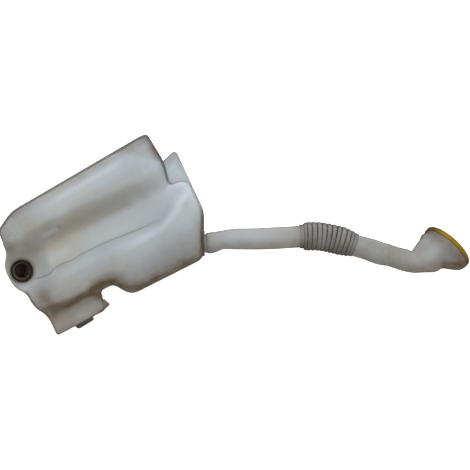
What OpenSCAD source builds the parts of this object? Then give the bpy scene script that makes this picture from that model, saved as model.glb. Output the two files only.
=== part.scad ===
// Washer fluid reservoir with a bellows filler neck, lying on its flat back.
// Millimetres, +Z up from the back face, +X along the filler neck.

/* [Tank] */
// Length of the main block, from the left end wall to the upper right end wall
tank_length = 228; // [215:1:250]
// Width of the main block, from the bottom side to the top side
tank_width = 177; // [166:1:190]
// Depth from the flat back to the crest of the ridge
tank_depth = 118; // [108:1:130]
// Moulded wall thickness
tank_wall = 2.4; // [1.8:0.1:3]
// Angle between the tank's long axis and the filler neck
tank_yaw = 29.5; // [26:0.5:33]
// Rounding of the front edge
front_round = 12; // [9:0.5:14]
// Rounding of the back edge
back_round = 9; // [6:0.5:12]
// Height of the mould parting line, where the outline is largest
parting_height = 76; // [66:1:84]
// Rounding of the front edge along the upper right end wall
end_round = 5; // [4:0.5:8]
// How far the shoulder stands out past the upper right end wall
shoulder_out = 18; // [16:0.5:20]
// Height of the shoulder's lower corner above the bottom side
shoulder_rise = 55; // [51:1:58]
// Draft of the side walls in front of the parting line, in degrees
front_draft = 6; // [3:0.5:9]
// Draft of the side walls behind the parting line, in degrees
back_draft = 2.5; // [1:0.5:4]

/* [Front face] */
// Depth of the long valley below the crest of the ridge
valley_depth = 29; // [22:1:34]
// Share of the valley's depth that is gone at the right end
valley_fade = 0.62; // [0.5:0.02:0.7]
// Distance of the ridge's flank from the centreline, at the left
flank_line = 40; // [34:1:46]
// Width of the ridge's flank
flank_width = 34; // [24:1:40]
// Rise of the face from the valley floor to the parting crease
floor_rise = 8; // [4:1:12]
// Height of the raised bulge at the lower right
bulge_height = 9; // [5:0.5:13]
// Fall of the face towards the bottom side
bottom_roll = 13; // [8:1:18]
// Slope of the facet at the top right corner
corner_slope = 0.35; // [0.2:0.05:0.5]

/* [Foot] */
// Length of the foot along the bottom side
foot_length = 71.5; // [64:0.5:76]
// Height of the foot's front face above the back
foot_height = 75; // [66:1:80]
// How far the foot reaches below the top of the notch
foot_reach = 25; // [20:1:30]
// Width of the notch between the foot and the bottom lip
notch_width = 18; // [14:1:24]
// Fall of the face towards the notch
notch_dip = 8; // [4:1:12]
// Rounding of the front edge along the foot
foot_round = 6; // [5:0.5:9]
// How far the wing's face lies behind the foot's face
wing_drop = 1.5; // [0.5:0.5:4]
// Thickness of the wing at the foot's right corner
wing_thick = 14; // [10:0.5:18]
// Thickness of the lug below the foot
lug_thick = 5; // [3:0.5:8]
// Height of the lug's underside above the back
lug_level = 40; // [28:1:46]
// How far the lug stands out below the foot
lug_reach = 4.2; // [3:0.1:6]

/* [Tongue] */
// Thickness of the mounting tongue
tongue_thick = 6; // [4:0.5:8]
// Height of the tongue's underside above the back
tongue_level = 58; // [48:1:64]
// How far the tongue reaches above the shoulder
tongue_reach = 45.5; // [38:0.5:50]
// Radius of the tongue's tip
tongue_tip_r = 5; // [4:0.5:7]

/* [Pump port] */
// Distance of the pump port above the centreline
pump_offset = 15; // [10:1:18]
// How far the pump pad stands out past the left end wall
pad_reach = 18.5; // [16:0.5:20]
// Radius of the pump pad around the port
pad_r = 20; // [18.5:0.5:21]
// Depth of the pump pad below the crest of the ridge
pad_drop = 38; // [34:1:42]
// Radius of the hole in the tank for the grommet
pump_hole_r = 11; // [10:0.1:12]
// Radius of the grommet's flange
grommet_flange_r = 14.4; // [13.5:0.1:16]
// Thickness of each grommet flange
grommet_flange = 3; // [2:0.1:4]
// How far the inner flange reaches past the hole
grommet_lip = 1.9; // [1.2:0.1:2.4]
// Radius of the grommet's bore, for the pump's inlet
pump_bore_r = 8.5; // [7.5:0.1:9]
// Lead-in chamfer at the mouth of the bore
bore_chamfer = 1; // [0.5:0.1:1.5]
// Clearance of a rubber ring in its hole
ring_clear = 0.1; // [0.05:0.01:0.2]

/* [Filler port] */
// Height of the port's axis above the back
port_z = 66; // [60:1:70]
// Position of the port's axis across the frame
port_y = -7; // [-10:0.5:-4]
// Radius of the hole in the port's collar
port_hole_r = 14.2; // [13.6:0.1:14.6]
// Wall of the port's collar
collar_wall = 2.4; // [2:0.1:2.8]
// How far the collar stands out of the tank's wall
collar_out = 0.5; // [0.2:0.1:1.5]
// Depth of the collar inside the wall
collar_depth = 12; // [8:1:16]
// Thickness of the seal's flange inside the tank
seal_flange = 2; // [1.5:0.1:3]
// Width of the seal's flange past the hole
seal_lip = 1.6; // [1:0.1:2.2]

/* [Lower neck] */
// Radius of the spigot that plugs into the seal
spigot_r = 12; // [11.4:0.1:12.4]
// Radius of the stop bead on the lower neck, outside the port
stop_r = 13.5; // [13:0.1:14]
// Wall of the neck tubes
neck_wall = 1.6; // [1.3:0.1:2.2]
// Length of the lower neck, from the port to the sleeve's step
lower_neck_length = 124; // [110:1:140]
// How far the lower neck climbs sideways on its way
lower_neck_rise = 9.2; // [7:0.1:11]
// How far the lower neck drops on its way
lower_neck_drop = 8; // [6:0.5:10]
// Radius of the lower neck at the sleeve
lower_neck_end_r = 14.2; // [13.5:0.1:15]

/* [Bellows sleeve] */
// Length of the sleeve
sleeve_length = 72; // [66:1:80]
// Number of ribs
sleeve_ribs = 11; // [9:1:13]
// Radius over the ribs at the middle
rib_r = 18.8; // [18.2:0.1:19.4]
// Depth of a groove between two ribs
groove_depth = 2.3; // [1.6:0.1:2.6]
// Wall of the sleeve
sleeve_wall = 1.1; // [0.9:0.05:1.3]
// Length of the plain cuff at each end
cuff_length = 4.5; // [4:0.5:6]
// Clearance between a cuff and its tube
cuff_clear = 0.3; // [0.25:0.05:0.4]
// How far the sleeve swings sideways on its way
sleeve_swing = 11.6; // [9:0.1:14]
// How far the sleeve drops on its way
sleeve_drop = 8; // [6:0.5:10]

/* [Upper neck] */
// Length of the upper neck along the frame, from the sleeve to the elbow
upper_neck_length = 64; // [60:1:70]
// How far the upper neck swings sideways up to the elbow
upper_neck_swing = 18.6; // [17:0.1:20]
// How far the upper neck drops up to the elbow
upper_neck_drop = 4; // [3:0.5:5.5]
// Radius of the upper neck
upper_neck_r = 14.2; // [13.6:0.1:14.8]

/* [Bell mouth] */
// Direction of the mouth in the plane of the back, in degrees
mouth_yaw = 48; // [43:0.5:53]
// Slope of the mouth's axis below that plane, in degrees
mouth_dip = 20; // [16:0.5:22]
// Outer radius of the mouth's wall
mouth_r = 32.6; // [31:0.2:34]
// Wall of the mouth
mouth_wall = 2.2; // [1.8:0.1:3]
// Length of the mouth's straight wall
mouth_length = 8.8; // [8:0.2:11]
// Height of the flange below the cap's skirt
flange_out = 1.9; // [1.4:0.1:2.2]
// Height of the bead around the mouth
bead_out = 1; // [0.8:0.1:1.4]
// Length of the bead along the mouth
bead_length = 2.5; // [2:0.1:3.5]

/* [Cap] */
// Thickness of the cap's top at its edge
cap_top = 1.6; // [1.4:0.1:2.4]
// Rise of the cap's dome at the middle
cap_dome = 2.5; // [1.5:0.1:3.5]
// Length of the cap's skirt over the mouth
cap_skirt = 4.2; // [3.4:0.1:5]
// Wall of the cap's skirt
skirt_wall = 1.4; // [1.2:0.1:2]
// Length of the plug ring inside the mouth
plug_length = 6; // [4.5:0.1:7.5]
// Wall of the plug ring
plug_wall = 1.6; // [1.3:0.1:2.2]
// Clearance between the cap and the mouth
cap_clear = 0.35; // [0.3:0.05:0.5]

/* [Hidden] */
$fn = 96;

half_l = tank_length / 2;
half_w = tank_width / 2;
tip_u = -half_l - pad_reach;
pad_u = tip_u + pad_r;
pad_z = tank_depth - pad_drop;
seat_r = grommet_flange_r + 2;
seat_depth = 8;
shoulder_u = half_l + shoulder_out;
shoulder_v = -half_w + shoulder_rise;
shoulder_top = shoulder_v + 39;
tongue_v = shoulder_top + tongue_reach + 2;
notch_v = -half_w + 30.5;
foot_left = -half_l - 0.5;
foot_right = foot_left + foot_length;
foot_bottom = notch_v - foot_reach;
notch_right = foot_right + 7 + notch_width;
port_wall_run = shoulder_v + half_w - 1;
spine_in = 39;
spine_drop = 35;
wall_x = shoulder_u * cos(tank_yaw) - shoulder_v * sin(tank_yaw);

// Outline rows: along, across, length of the corner's rounding, station on the spine.
// Stations below 0 fan round the spine's left end, those above 1 round its right end.
top_rows = [
  [tip_u, pump_offset, 0, -1],
  [tip_u + 1, pump_offset + 17, 12, -0.75],
  [-half_l - 4, pump_offset + 30, 9, -0.55],
  [-half_l - 0.5, half_w - 12, 6, -0.2],
  [-half_l + 26, half_w + 1, 12, 0],
  [half_l - 12, half_w + 3.5, 5, 0.94],
  [half_l + 2.5, half_w + 2.5, 6, 1],
  [half_l + 4, shoulder_v + 82, 10, 1.3],
  [half_l - 4, shoulder_v + 51.5, 6, 1.6],
  [half_l + 10, shoulder_v + 50, 6, 1.72],
  [shoulder_u + 3, shoulder_v + 41, 7, 1.82],
  [shoulder_u + 1, shoulder_v + 14, 0, 2]
];
bottom_rows = [
  [tip_u, pump_offset, 0, -1],
  [tip_u + 1, pump_offset - 14, 11, -0.8],
  [-half_l - 6, pump_offset - 26, 8, -0.65],
  [-half_l - 6.5, -half_w + 55, 10, -0.45],
  [-half_l + 1.5, notch_v + 6, 9, -0.25],
  [foot_left, foot_bottom + 2, 4, 0],
  [foot_right, foot_bottom, 5, 0.1],
  [foot_right + 7, notch_v, 5, 0.14],
  [notch_right, notch_v - 1, 6, 0.28],
  [notch_right + 14, -half_w + 6, 11, 0.42],
  [shoulder_u - port_wall_run * tan(tank_yaw), -half_w + 1, 11, 0.95],
  [shoulder_u, shoulder_v, 10, 1.4],
  [shoulder_u + 1, shoulder_v + 14, 0, 2]
];

function ramp(x, a, b) =
  let (t = min(1, max(0, (x - a) / (b - a))))
  t * t * (3 - 2 * t);

// Distance travelled along a row of corners up to each one.
function run(rows, i) =
  i == 0 ? 0 : run(rows, i - 1) + norm([rows[i][0] - rows[i - 1][0], rows[i][1] - rows[i - 1][1]]);
function runs(rows) = [for (i = [0:len(rows) - 1]) run(rows, i)];
function corner(row) = [row[0], row[1]];
function straight(rows, at, x) = [
  lookup(x, [for (i = [0:len(rows) - 1]) [at[i], rows[i][0]]]),
  lookup(x, [for (i = [0:len(rows) - 1]) [at[i], rows[i][1]]])
];
// Point on the outline at a distance, each corner rounded by a parabola.
function rounded(rows, at, x) =
  let (near = [for (i = [1:len(rows) - 2]) if (abs(x - at[i]) < rows[i][2]) i])
  len(near) == 0 ? straight(rows, at, x) :
  let (
    i = near[0],
    r = rows[i][2],
    q = (x - at[i] + r) / (2 * r),
    a = straight(rows, at, at[i] - r),
    b = straight(rows, at, at[i] + r)
  )
  (1 - q) * (1 - q) * a + 2 * q * (1 - q) * corner(rows[i]) + q * q * b;
function outline(rows, at, s) =
  rounded(rows, at, lookup(s, [for (i = [0:len(rows) - 1]) [rows[i][3], at[i]]]));
function spine(s) =
  let (t = min(1, max(0, s)))
  [(tank_length - 2 * spine_in) * (t - 0.5), spine_drop * (t - 1)];

fan_steps = 8;
mid_steps = 30;
stations = concat(
  [for (i = [0:fan_steps - 1]) -1 + i / fan_steps],
  [for (i = [0:mid_steps - 1]) pow(i / mid_steps, 1.7)],
  [for (i = [0:fan_steps]) 1 + i / fan_steps]
);
last = len(stations) - 1;
top_at = runs(top_rows);
bottom_at = runs(bottom_rows);
// Front rounding along the top half, where the end wall has a sharper edge.
function top_round(s) =
  front_round + (end_round - front_round) * ramp(s, 0.97, 1.12) * (1 - ramp(s, 1.5, 1.7));
// Front rounding along the bottom half, with sharper edges on the foot and the left end above it.
function bottom_round(s) =
  front_round + (foot_round - front_round) * ramp(s, -0.8, -0.5) * (1 - ramp(s, 0.14, 0.22));
loop = concat(
  [for (i = [0:last]) [spine(stations[i]), outline(top_rows, top_at, stations[i]), top_round(stations[i])]],
  [
    for (i = [last - 1:-1:1])
      [spine(stations[i]), outline(bottom_rows, bottom_at, stations[i]), bottom_round(stations[i])]
  ]
);
count = len(loop);
// How much a ray must lengthen so that an inset is square to the outline.
function slant(i) =
  let (
    t = loop[(i + 1) % count][1] - loop[(i + count - 1) % count][1],
    ray = loop[i][1] - loop[i][0],
    c = abs(t[1] * ray[0] - t[0] * ray[1]) / (norm(t) * norm(ray))
  )
  1 / max(0.75, c);
raw_slants = [for (i = [0:count - 1]) slant(i)];
slants = [
  for (i = [0:count - 1])
    (raw_slants[(i + count - 2) % count] + raw_slants[(i + count - 1) % count] + raw_slants[i]
      + raw_slants[(i + 1) % count] + raw_slants[(i + 2) % count]) / 5
];

// Height of the front face above the back.
function face_z(u, v) =
  let (
    fade = 1 - valley_fade * ramp(u, half_l - 74, half_l - 6),
    flank = flank_line - 10 * ramp(u, -60, 90),
    below = 1 - ramp(v, flank - flank_width / 2, flank + flank_width / 2),
    rise = floor_rise * (1 - ramp(v, -8, 22)),
    bulge_v = -22 + 20 * ramp(u, 60, half_l - 2),
    bulge = bulge_height * (1 - ramp(v, bulge_v - 9, bulge_v + 7)) * ramp(u, -30, 25),
    roll = bottom_roll * (1 - ramp(v, -half_w + 3, -half_w + 45)),
    facet = corner_slope * max(0, 0.667 * (u - half_l) + 0.745 * (v - half_w) + 32.2),
    body = tank_depth - valley_depth * fade * below + rise * fade + bulge - roll - facet,
    foot_v = notch_v + 10 - 0.14 * (u - foot_left),
    foot = (1 - ramp(v, foot_v - 9, foot_v + 9)) * (1 - ramp(u, foot_right + 4, foot_right + 20)),
    notch_d = norm([(u - foot_right - 7 - notch_width / 2) * 0.8, v - notch_v + 6]),
    dip = notch_dip * (1 - ramp(notch_d, 10, 26)) * (1 - foot),
    main = body + (foot_height - body) * foot - dip,
    pad = 1 - ramp(norm([u - pad_u, v - pump_offset]), pad_r - 3, pad_r + 22)
  )
  main + (pad_z - main) * pad;

// Height of a skin a wall's thickness inside the front face, thicker in height where the face is steep.
function skin_z(u, v, wall) =
  let (
    du = (face_z(u + 1, v) - face_z(u - 1, v)) / 2,
    dv = (face_z(u, v + 1) - face_z(u, v - 1)) / 2
  )
  face_z(u, v) - wall * min(2.2, sqrt(1 + du * du + dv * dv));

// One point of the skin: inset from the outline, then a height.
function skin_xy(i, d) =
  let (
    c = loop[i][0],
    o = loop[i][1],
    l = norm(o - c)
  )
  c + (o - c) * max(0, 1 - d * slants[i] / l);
function skin_k(i, d, k) = loop[i][0] + (skin_xy(i, d) - loop[i][0]) * k;

bend_steps = 3;
// Size of the hole in the shell's back and of the plate that closes it, as shares of the back.
back_hole = 0.5;
back_cover = 0.65;
face_steps = 9;
back_rings = 1 + bend_steps;
// One ring of the skin. The wall moves it in, for the cavity.
function ring(j, wall) = [
  for (i = [0:count - 1])
    let (
      bend = loop[i][2],
      back_in = parting_height * tan(back_draft) + wall,
      edge = skin_xy(i, bend + wall),
      edge_z = skin_z(edge[0], edge[1], wall),
      side_z = min(parting_height, edge_z - bend - 2),
      front_in = (edge_z - bend - side_z) * tan(front_draft) + wall
    )
    j == 0 ? let (p = skin_k(i, back_in + back_round, back_hole)) [p[0], p[1], wall] :
    j <= back_rings ?
      let (
        a = 90 * (j - 1) / bend_steps,
        p = skin_xy(i, back_in + back_round * (1 - sin(a)))
      )
      [p[0], p[1], wall + back_round * (1 - cos(a))] :
    j == back_rings + 1 ? let (p = skin_xy(i, wall)) [p[0], p[1], side_z] :
    j <= back_rings + 2 + bend_steps ?
      let (
        a = 90 * (j - back_rings - 2) / bend_steps,
        p = skin_xy(i, front_in + bend * (1 - cos(a)))
      )
      [p[0], p[1], max(side_z + 1 + a / 90, skin_z(p[0], p[1], wall) - bend * (1 - sin(a)))] :
    let (
      k = 1 - (j - back_rings - 2 - bend_steps) / face_steps,
      p = skin_k(i, front_in + bend, k)
    )
    [p[0], p[1], max(side_z + 2 + 0.1 * (1 - k), skin_z(p[0], p[1], wall))]
];
ring_count = back_rings + 2 + bend_steps + face_steps;

// Hollow shell: the outer and inner skins join at a hole in the back, which the back plate closes.
module shell() {
  mid = [for (s = stations) if (s >= 0 && s <= 1) spine(s)];
  mids = len(mid);
  outer = [for (j = [0:ring_count - 1]) ring(j, 0)];
  inner = [for (j = [0:ring_count - 1]) ring(j, tank_wall)];
  side = ring_count * count;
  crown = 2 * side;
  pts = concat(
    [for (r = outer) for (p = r) p],
    [for (r = inner) for (p = r) p],
    [for (c = mid) [c[0], c[1], face_z(c[0], c[1])]],
    [for (c = mid) [c[0], c[1], skin_z(c[0], c[1], tank_wall)]]
  );
  function shared(i) =
    let (k = i <= last ? i : count - i)
    min(mids - 1, max(0, k - fan_steps));
  function tri(a, b, c) = a == b || b == c || a == c ? [] : [[a, b, c]];
  faces = concat(
    [
      for (j = [0:ring_count - 2]) for (i = [0:count - 1])
        let (
          n = (i + 1) % count,
          a = j * count + i,
          b = j * count + n,
          c = (j + 1) * count + n,
          d = (j + 1) * count + i
        )
        each [[a, b, c], [a, c, d], [side + a, side + c, side + b], [side + a, side + d, side + c]]
    ],
    [
      for (i = [0:count - 1])
        let (n = (i + 1) % count)
        each [[i, side + i, side + n], [i, side + n, n]]
    ],
    [
      for (i = [0:count - 1])
        let (
          n = (i + 1) % count,
          a = side - count + i,
          b = side - count + n,
          p = crown + shared(i),
          q = crown + shared(n)
        )
        each concat(
          [[a, b, p], [side + b, side + a, mids + p]],
          tri(b, q, p),
          tri(side + b, mids + p, mids + q)
        )
    ]
  );
  polyhedron(points = pts, faces = faces, convexity = 8);
}

module back_plate() {
  back_in = parting_height * tan(back_draft) + back_round;
  linear_extrude(tank_wall + 0.4)
    polygon([for (i = [0:count - 1]) skin_k(i, back_in, back_cover)]);
}

module wing_shape() {
  polygon([
    [foot_right - 10, foot_bottom + 1.5],
    [foot_right - 2, foot_bottom + 1],
    [foot_right + 7.3, foot_bottom + 3],
    [foot_right + 8.3, foot_bottom + 4.5],
    [foot_right + 5.3, foot_bottom + 13.5],
    [foot_right - 8, foot_bottom + 15]
  ]);
}

module lug_shape() {
  polygon([
    [foot_left + 24, foot_bottom + 6],
    [foot_left + 27, foot_bottom - lug_reach + 1],
    [foot_left + 31, foot_bottom - lug_reach],
    [foot_left + 51, foot_bottom - lug_reach + 0.6],
    [foot_left + 54, foot_bottom + 6]
  ]);
}

module tongue_shape() {
  hull() {
    translate([shoulder_u + 6 - tongue_tip_r, tongue_v - tongue_tip_r]) circle(r = tongue_tip_r);
    translate([half_l - 6, tongue_v - 10]) circle(r = 4);
    translate([half_l - 7, shoulder_top + 1]) circle(r = 4);
    translate([shoulder_u - 2, shoulder_top - 7]) circle(r = 4);
  }
}

module tank() {
  color([0.78, 0.81, 0.83])
    difference() {
      union() {
        rotate([0, 0, tank_yaw]) {
          difference() {
            shell();
            translate([pad_u, pump_offset, pad_z]) cylinder(r = seat_r, h = tank_depth);
            translate([pad_u, pump_offset, pad_z - tank_wall - seat_depth])
              cylinder(r = pump_hole_r + grommet_lip + 1, h = seat_depth);
          }
          back_plate();
          translate([0, 0, foot_height - wing_drop - wing_thick]) linear_extrude(wing_thick) wing_shape();
          translate([0, 0, lug_level]) linear_extrude(lug_thick) lug_shape();
          translate([0, 0, tongue_level]) linear_extrude(tongue_thick) tongue_shape();
          translate([pad_u, pump_offset, pad_z - tank_wall]) cylinder(r = seat_r, h = tank_wall);
        }
        translate([wall_x - collar_depth, port_y, port_z]) rotate([0, 90, 0])
          cylinder(r = port_hole_r + collar_wall, h = collar_depth + collar_out);
      }
      translate([wall_x - collar_depth - 2, port_y, port_z]) rotate([0, 90, 0])
        cylinder(r = port_hole_r, h = collar_depth + collar_out + 4);
      rotate([0, 0, tank_yaw]) translate([pad_u, pump_offset, pad_z - tank_wall - 2])
        cylinder(r = pump_hole_r, h = tank_wall + 4);
    }
}

module pump_grommet() {
  stem_r = pump_hole_r - ring_clear;
  color([0.16, 0.15, 0.14])
    rotate([0, 0, tank_yaw]) translate([pad_u, pump_offset, pad_z])
      rotate_extrude()
        polygon([
          [pump_bore_r, -tank_wall - grommet_flange],
          [pump_hole_r + grommet_lip, -tank_wall - grommet_flange],
          [pump_hole_r + grommet_lip, -tank_wall],
          [stem_r, -tank_wall],
          [stem_r, 0],
          [grommet_flange_r, 0],
          [grommet_flange_r, grommet_flange],
          [pump_bore_r + bore_chamfer, grommet_flange],
          [pump_bore_r, grommet_flange - bore_chamfer]
        ]);
}

module neck_seal() {
  seal_r = port_hole_r - ring_clear;
  inner_r = spigot_r + ring_clear;
  color([0.12, 0.12, 0.12])
    translate([wall_x + collar_out, port_y, port_z]) rotate([0, 90, 0])
      rotate_extrude()
        polygon([
          [inner_r, -collar_depth - collar_out - seal_flange],
          [port_hole_r + seal_lip, -collar_depth - collar_out - seal_flange],
          [port_hole_r + seal_lip, -collar_depth - collar_out],
          [seal_r, -collar_depth - collar_out],
          [seal_r, 0],
          [inner_r, 0]
        ]);
}

// Neck rows: along, across, height, outer radius, direction, dip. All from the port.
spigot_out = collar_out + 2;
spigot_in = collar_depth + seal_flange + 2;
sleeve_x = lower_neck_length;
sleeve_y = lower_neck_rise;
sleeve_z = -lower_neck_drop;
lower_rows = [
  [spigot_out - 1.5, 0, 0, spigot_r - 0.05, 0, 0],
  [spigot_out, 0.1, 0, spigot_r, 4, 1],
  [spigot_out + 2.5, 0.4, -0.1, stop_r, 8, 1],
  [spigot_out + 9, 1.6, -0.3, stop_r, 14, 2],
  [23, sleeve_y * 0.5, sleeve_z * 0.08, spigot_r + 0.2, 11, 2],
  [40, sleeve_y * 0.64, sleeve_z * 0.18, spigot_r + 1.7, 1, 3],
  [sleeve_x - 58, sleeve_y * 0.66, sleeve_z * 0.38, spigot_r + 2, 2, 4],
  [sleeve_x - 26, sleeve_y * 0.8, sleeve_z * 0.7, spigot_r + 2.1, 3, 5],
  [sleeve_x - 1, sleeve_y - 0.2, sleeve_z + 0.1, lower_neck_end_r, 2, 5],
  [sleeve_x + cuff_length, sleeve_y + 0.1, sleeve_z - 0.4, lower_neck_end_r, 1, 5]
];
upper_x = sleeve_x + sleeve_length;
upper_y = sleeve_y - sleeve_swing;
upper_z = sleeve_z - sleeve_drop;
// Sleeve rows, with the share of the sleeve's length in place of the radius.
sleeve_rows = [
  [sleeve_x, sleeve_y, sleeve_z, 0, 2, 5],
  [sleeve_x + cuff_length, sleeve_y + 0.1, sleeve_z - 0.4, cuff_length / sleeve_length, 1, 5],
  [sleeve_x + sleeve_length * 0.36, sleeve_y, sleeve_z - sleeve_drop * 0.33, 0.36, -4, 6],
  [sleeve_x + sleeve_length * 0.7, upper_y + sleeve_swing * 0.58, upper_z + sleeve_drop * 0.31, 0.7, -15, 6],
  [upper_x - cuff_length, upper_y + 1.5, upper_z + 0.4, 1 - cuff_length / sleeve_length, -19, 5],
  [upper_x, upper_y, upper_z, 1, -19, 5]
];
elbow_x = upper_x + upper_neck_length;
elbow_y = upper_y - upper_neck_swing;
elbow_z = upper_z - upper_neck_drop;
swing = upper_neck_swing;
drop = upper_neck_drop;
upper_rows = [
  [upper_x - cuff_length, upper_y + 1.5, upper_z + 0.4, upper_neck_r, -19, 5],
  [upper_x, upper_y, upper_z, upper_neck_r, -19, 5],
  [elbow_x - 45, upper_y - swing * 0.29, upper_z - drop * 0.3, upper_neck_r + 0.3, -19, 4],
  [elbow_x - 32, upper_y - swing * 0.54, upper_z - drop * 0.5, upper_neck_r + 0.1, -17, 3],
  [elbow_x - 20, upper_y - swing * 0.69, upper_z - drop * 0.68, upper_neck_r - 0.3, -15, 3],
  [elbow_x - 8, upper_y - swing * 0.89, upper_z - drop * 0.87, upper_neck_r - 0.2, -14, 4],
  [elbow_x, elbow_y, elbow_z, upper_neck_r + 0.5, -9, 5],
  [elbow_x + 10.7, elbow_y - 1.4, elbow_z - 1, upper_neck_r + 1.5, 0, 6],
  [elbow_x + 20.5, elbow_y + 0.7, elbow_z - 1.6, upper_neck_r + 4.1, 18, 9],
  [elbow_x + 30.5, elbow_y + 3.8, elbow_z - 2, mouth_r - 9.6, 33, 14],
  [elbow_x + 37.3, elbow_y + 8, elbow_z - 2.6, mouth_r - 6, 43, 18],
  [elbow_x + 43.3, elbow_y + 9.7, elbow_z - 3.4, mouth_r - 1.3, mouth_yaw, mouth_dip],
  [elbow_x + 48, elbow_y + 10.8, elbow_z - 4.2, mouth_r + 0.5, mouth_yaw, mouth_dip],
  [elbow_x + 51.9, elbow_y + 11.2, elbow_z - 5, mouth_r - 0.1, mouth_yaw, mouth_dip]
];
bell = upper_rows[len(upper_rows) - 1];
port = [wall_x, port_y, port_z];
mouth_dir = [cos(mouth_dip) * cos(mouth_yaw), cos(mouth_dip) * sin(mouth_yaw), -sin(mouth_dip)];
// Start of the mouth's straight wall, on the last ring of the bell.
mouth_at = port + [bell[0], bell[1], bell[2]] - mouth_dir;

// Smooth curve through the rows.
function blend(rows, t) =
  let (
    n = len(rows) - 1,
    i = min(n - 1, floor(t)),
    f = t - i,
    a = rows[max(0, i - 1)],
    b = rows[i],
    c = rows[i + 1],
    d = rows[min(n, i + 2)]
  )
  b + (c - a) * f / 2
    + (2 * a - 5 * b + 4 * c - d) * f * f / 2
    + (3 * b - a - 3 * c + d) * f * f * f / 2;

neck_sides = 24;
function hoop(row, r) =
  let (
    y = row[4],
    p = row[5],
    e = [-sin(y), cos(y), 0],
    n = [sin(p) * cos(y), sin(p) * sin(y), cos(p)]
  )
  [
    for (k = [0:neck_sides - 1])
      port + [row[0], row[1], row[2]] + r * (cos(k * 360 / neck_sides) * e + sin(k * 360 / neck_sides) * n)
  ];

// Tube wall between two sets of hoops.
module tube(outer, inner) {
  m = len(outer);
  pts = concat([for (h = outer) for (p = h) p], [for (h = inner) for (p = h) p]);
  side = m * neck_sides;
  function quad(a, b, c, d) = [[a, b, c], [a, c, d]];
  faces = concat(
    [
      for (j = [0:m - 2]) for (k = [0:neck_sides - 1])
        let (
          n = (k + 1) % neck_sides,
          a = j * neck_sides + k,
          b = j * neck_sides + n,
          c = (j + 1) * neck_sides + n,
          d = (j + 1) * neck_sides + k
        )
        each concat(quad(a, d, c, b), quad(side + a, side + b, side + c, side + d))
    ],
    [
      for (k = [0:neck_sides - 1])
        let (
          n = (k + 1) % neck_sides,
          e = (m - 1) * neck_sides
        )
        each concat(quad(k, n, side + n, side + k), quad(e + n, e + k, side + e + k, side + e + n))
    ]
  );
  polyhedron(points = pts, faces = faces, convexity = 8);
}

module swept(rows, steps) {
  at = [for (i = [0:(len(rows) - 1) * steps]) i / steps];
  tube(
    [for (t = at) let (row = blend(rows, t)) hoop(row, row[3])],
    [for (t = at) let (row = blend(rows, t)) hoop(row, row[3] - neck_wall)]
  );
}

module lower_neck() {
  color([0.74, 0.77, 0.79]) {
    translate([wall_x - spigot_in, port_y, port_z]) rotate([0, 90, 0])
      difference() {
        cylinder(r = spigot_r, h = spigot_in + spigot_out);
        translate([0, 0, -1]) cylinder(r = spigot_r - neck_wall, h = spigot_in + spigot_out + 2);
      }
    swept(lower_rows, 3);
  }
}

// Radius of the sleeve along its length, from 0 to 1.
function sleeve_r(t) =
  let (
    cuff = cuff_length / sleeve_length,
    left_r = lower_neck_end_r + cuff_clear + sleeve_wall,
    right_r = upper_neck_r + cuff_clear + sleeve_wall,
    end_r = left_r + (right_r - left_r) * t,
    swell = ramp(t, cuff, cuff + 0.07) * (1 - ramp(t, 0.72, 1 - cuff)),
    crest = end_r + 1.3 + (rib_r - end_r - 1.3) * swell,
    wave = pow((1 + cos(360 * sleeve_ribs * (t - cuff) / (1 - 2 * cuff))) / 2, 2)
  )
  t <= cuff || t >= 1 - cuff ? end_r : max(end_r, crest - groove_depth * wave);

module bellows_sleeve() {
  steps = sleeve_ribs * 4;
  cuff = cuff_length / sleeve_length;
  at = concat([0, cuff / 2], [for (i = [0:steps]) cuff + (1 - 2 * cuff) * i / steps], [1 - cuff / 2, 1]);
  place = [for (i = [0:len(sleeve_rows) - 1]) [sleeve_rows[i][3], i]];
  color([0.55, 0.53, 0.5])
    tube(
      [for (t = at) hoop(blend(sleeve_rows, lookup(t, place)), sleeve_r(t))],
      [for (t = at) hoop(blend(sleeve_rows, lookup(t, place)), sleeve_r(t) - sleeve_wall)]
    );
}

module along_mouth() {
  translate(mouth_at) rotate([0, 0, mouth_yaw]) rotate([0, 90 + mouth_dip, 0]) children();
}

module upper_neck() {
  color([0.74, 0.76, 0.76]) {
    swept(upper_rows, 3);
    along_mouth()
      rotate_extrude()
        polygon([
          [mouth_r - mouth_wall, 0],
          [mouth_r, 0],
          [mouth_r + flange_out, mouth_length * 0.4],
          [mouth_r + flange_out, mouth_length - cap_skirt],
          [mouth_r, mouth_length - cap_skirt],
          [mouth_r, mouth_length - bead_length],
          [mouth_r + bead_out, mouth_length - bead_length],
          [mouth_r + bead_out, mouth_length],
          [mouth_r - mouth_wall, mouth_length]
        ]);
  }
}

module filler_cap() {
  skirt_in = mouth_r + bead_out + cap_clear;
  cap_r = skirt_in + skirt_wall;
  plug_r = mouth_r - mouth_wall - cap_clear;
  under = mouth_length + cap_clear;
  // Sphere that gives the dome its rise over the cap's radius.
  dome_r = (cap_r * cap_r + cap_dome * cap_dome) / (2 * cap_dome);
  dome_half = asin(cap_r / dome_r);
  color([0.62, 0.52, 0.1])
    along_mouth()
      rotate_extrude()
        polygon(concat(
          [
            [0, under],
            [plug_r - plug_wall, under],
            [plug_r - plug_wall, under - plug_length],
            [plug_r, under - plug_length],
            [plug_r, under],
            [skirt_in, under],
            [skirt_in, under - cap_skirt],
            [cap_r, under - cap_skirt]
          ],
          [
            for (k = [0:12])
              let (a = dome_half * (1 - k / 12))
              [dome_r * sin(a), under + cap_top + cap_dome - dome_r * (1 - cos(a))]
          ]
        ));
}

tank();
pump_grommet();
neck_seal();
lower_neck();
bellows_sleeve();
upper_neck();
filler_cap();
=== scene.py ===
import math

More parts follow.
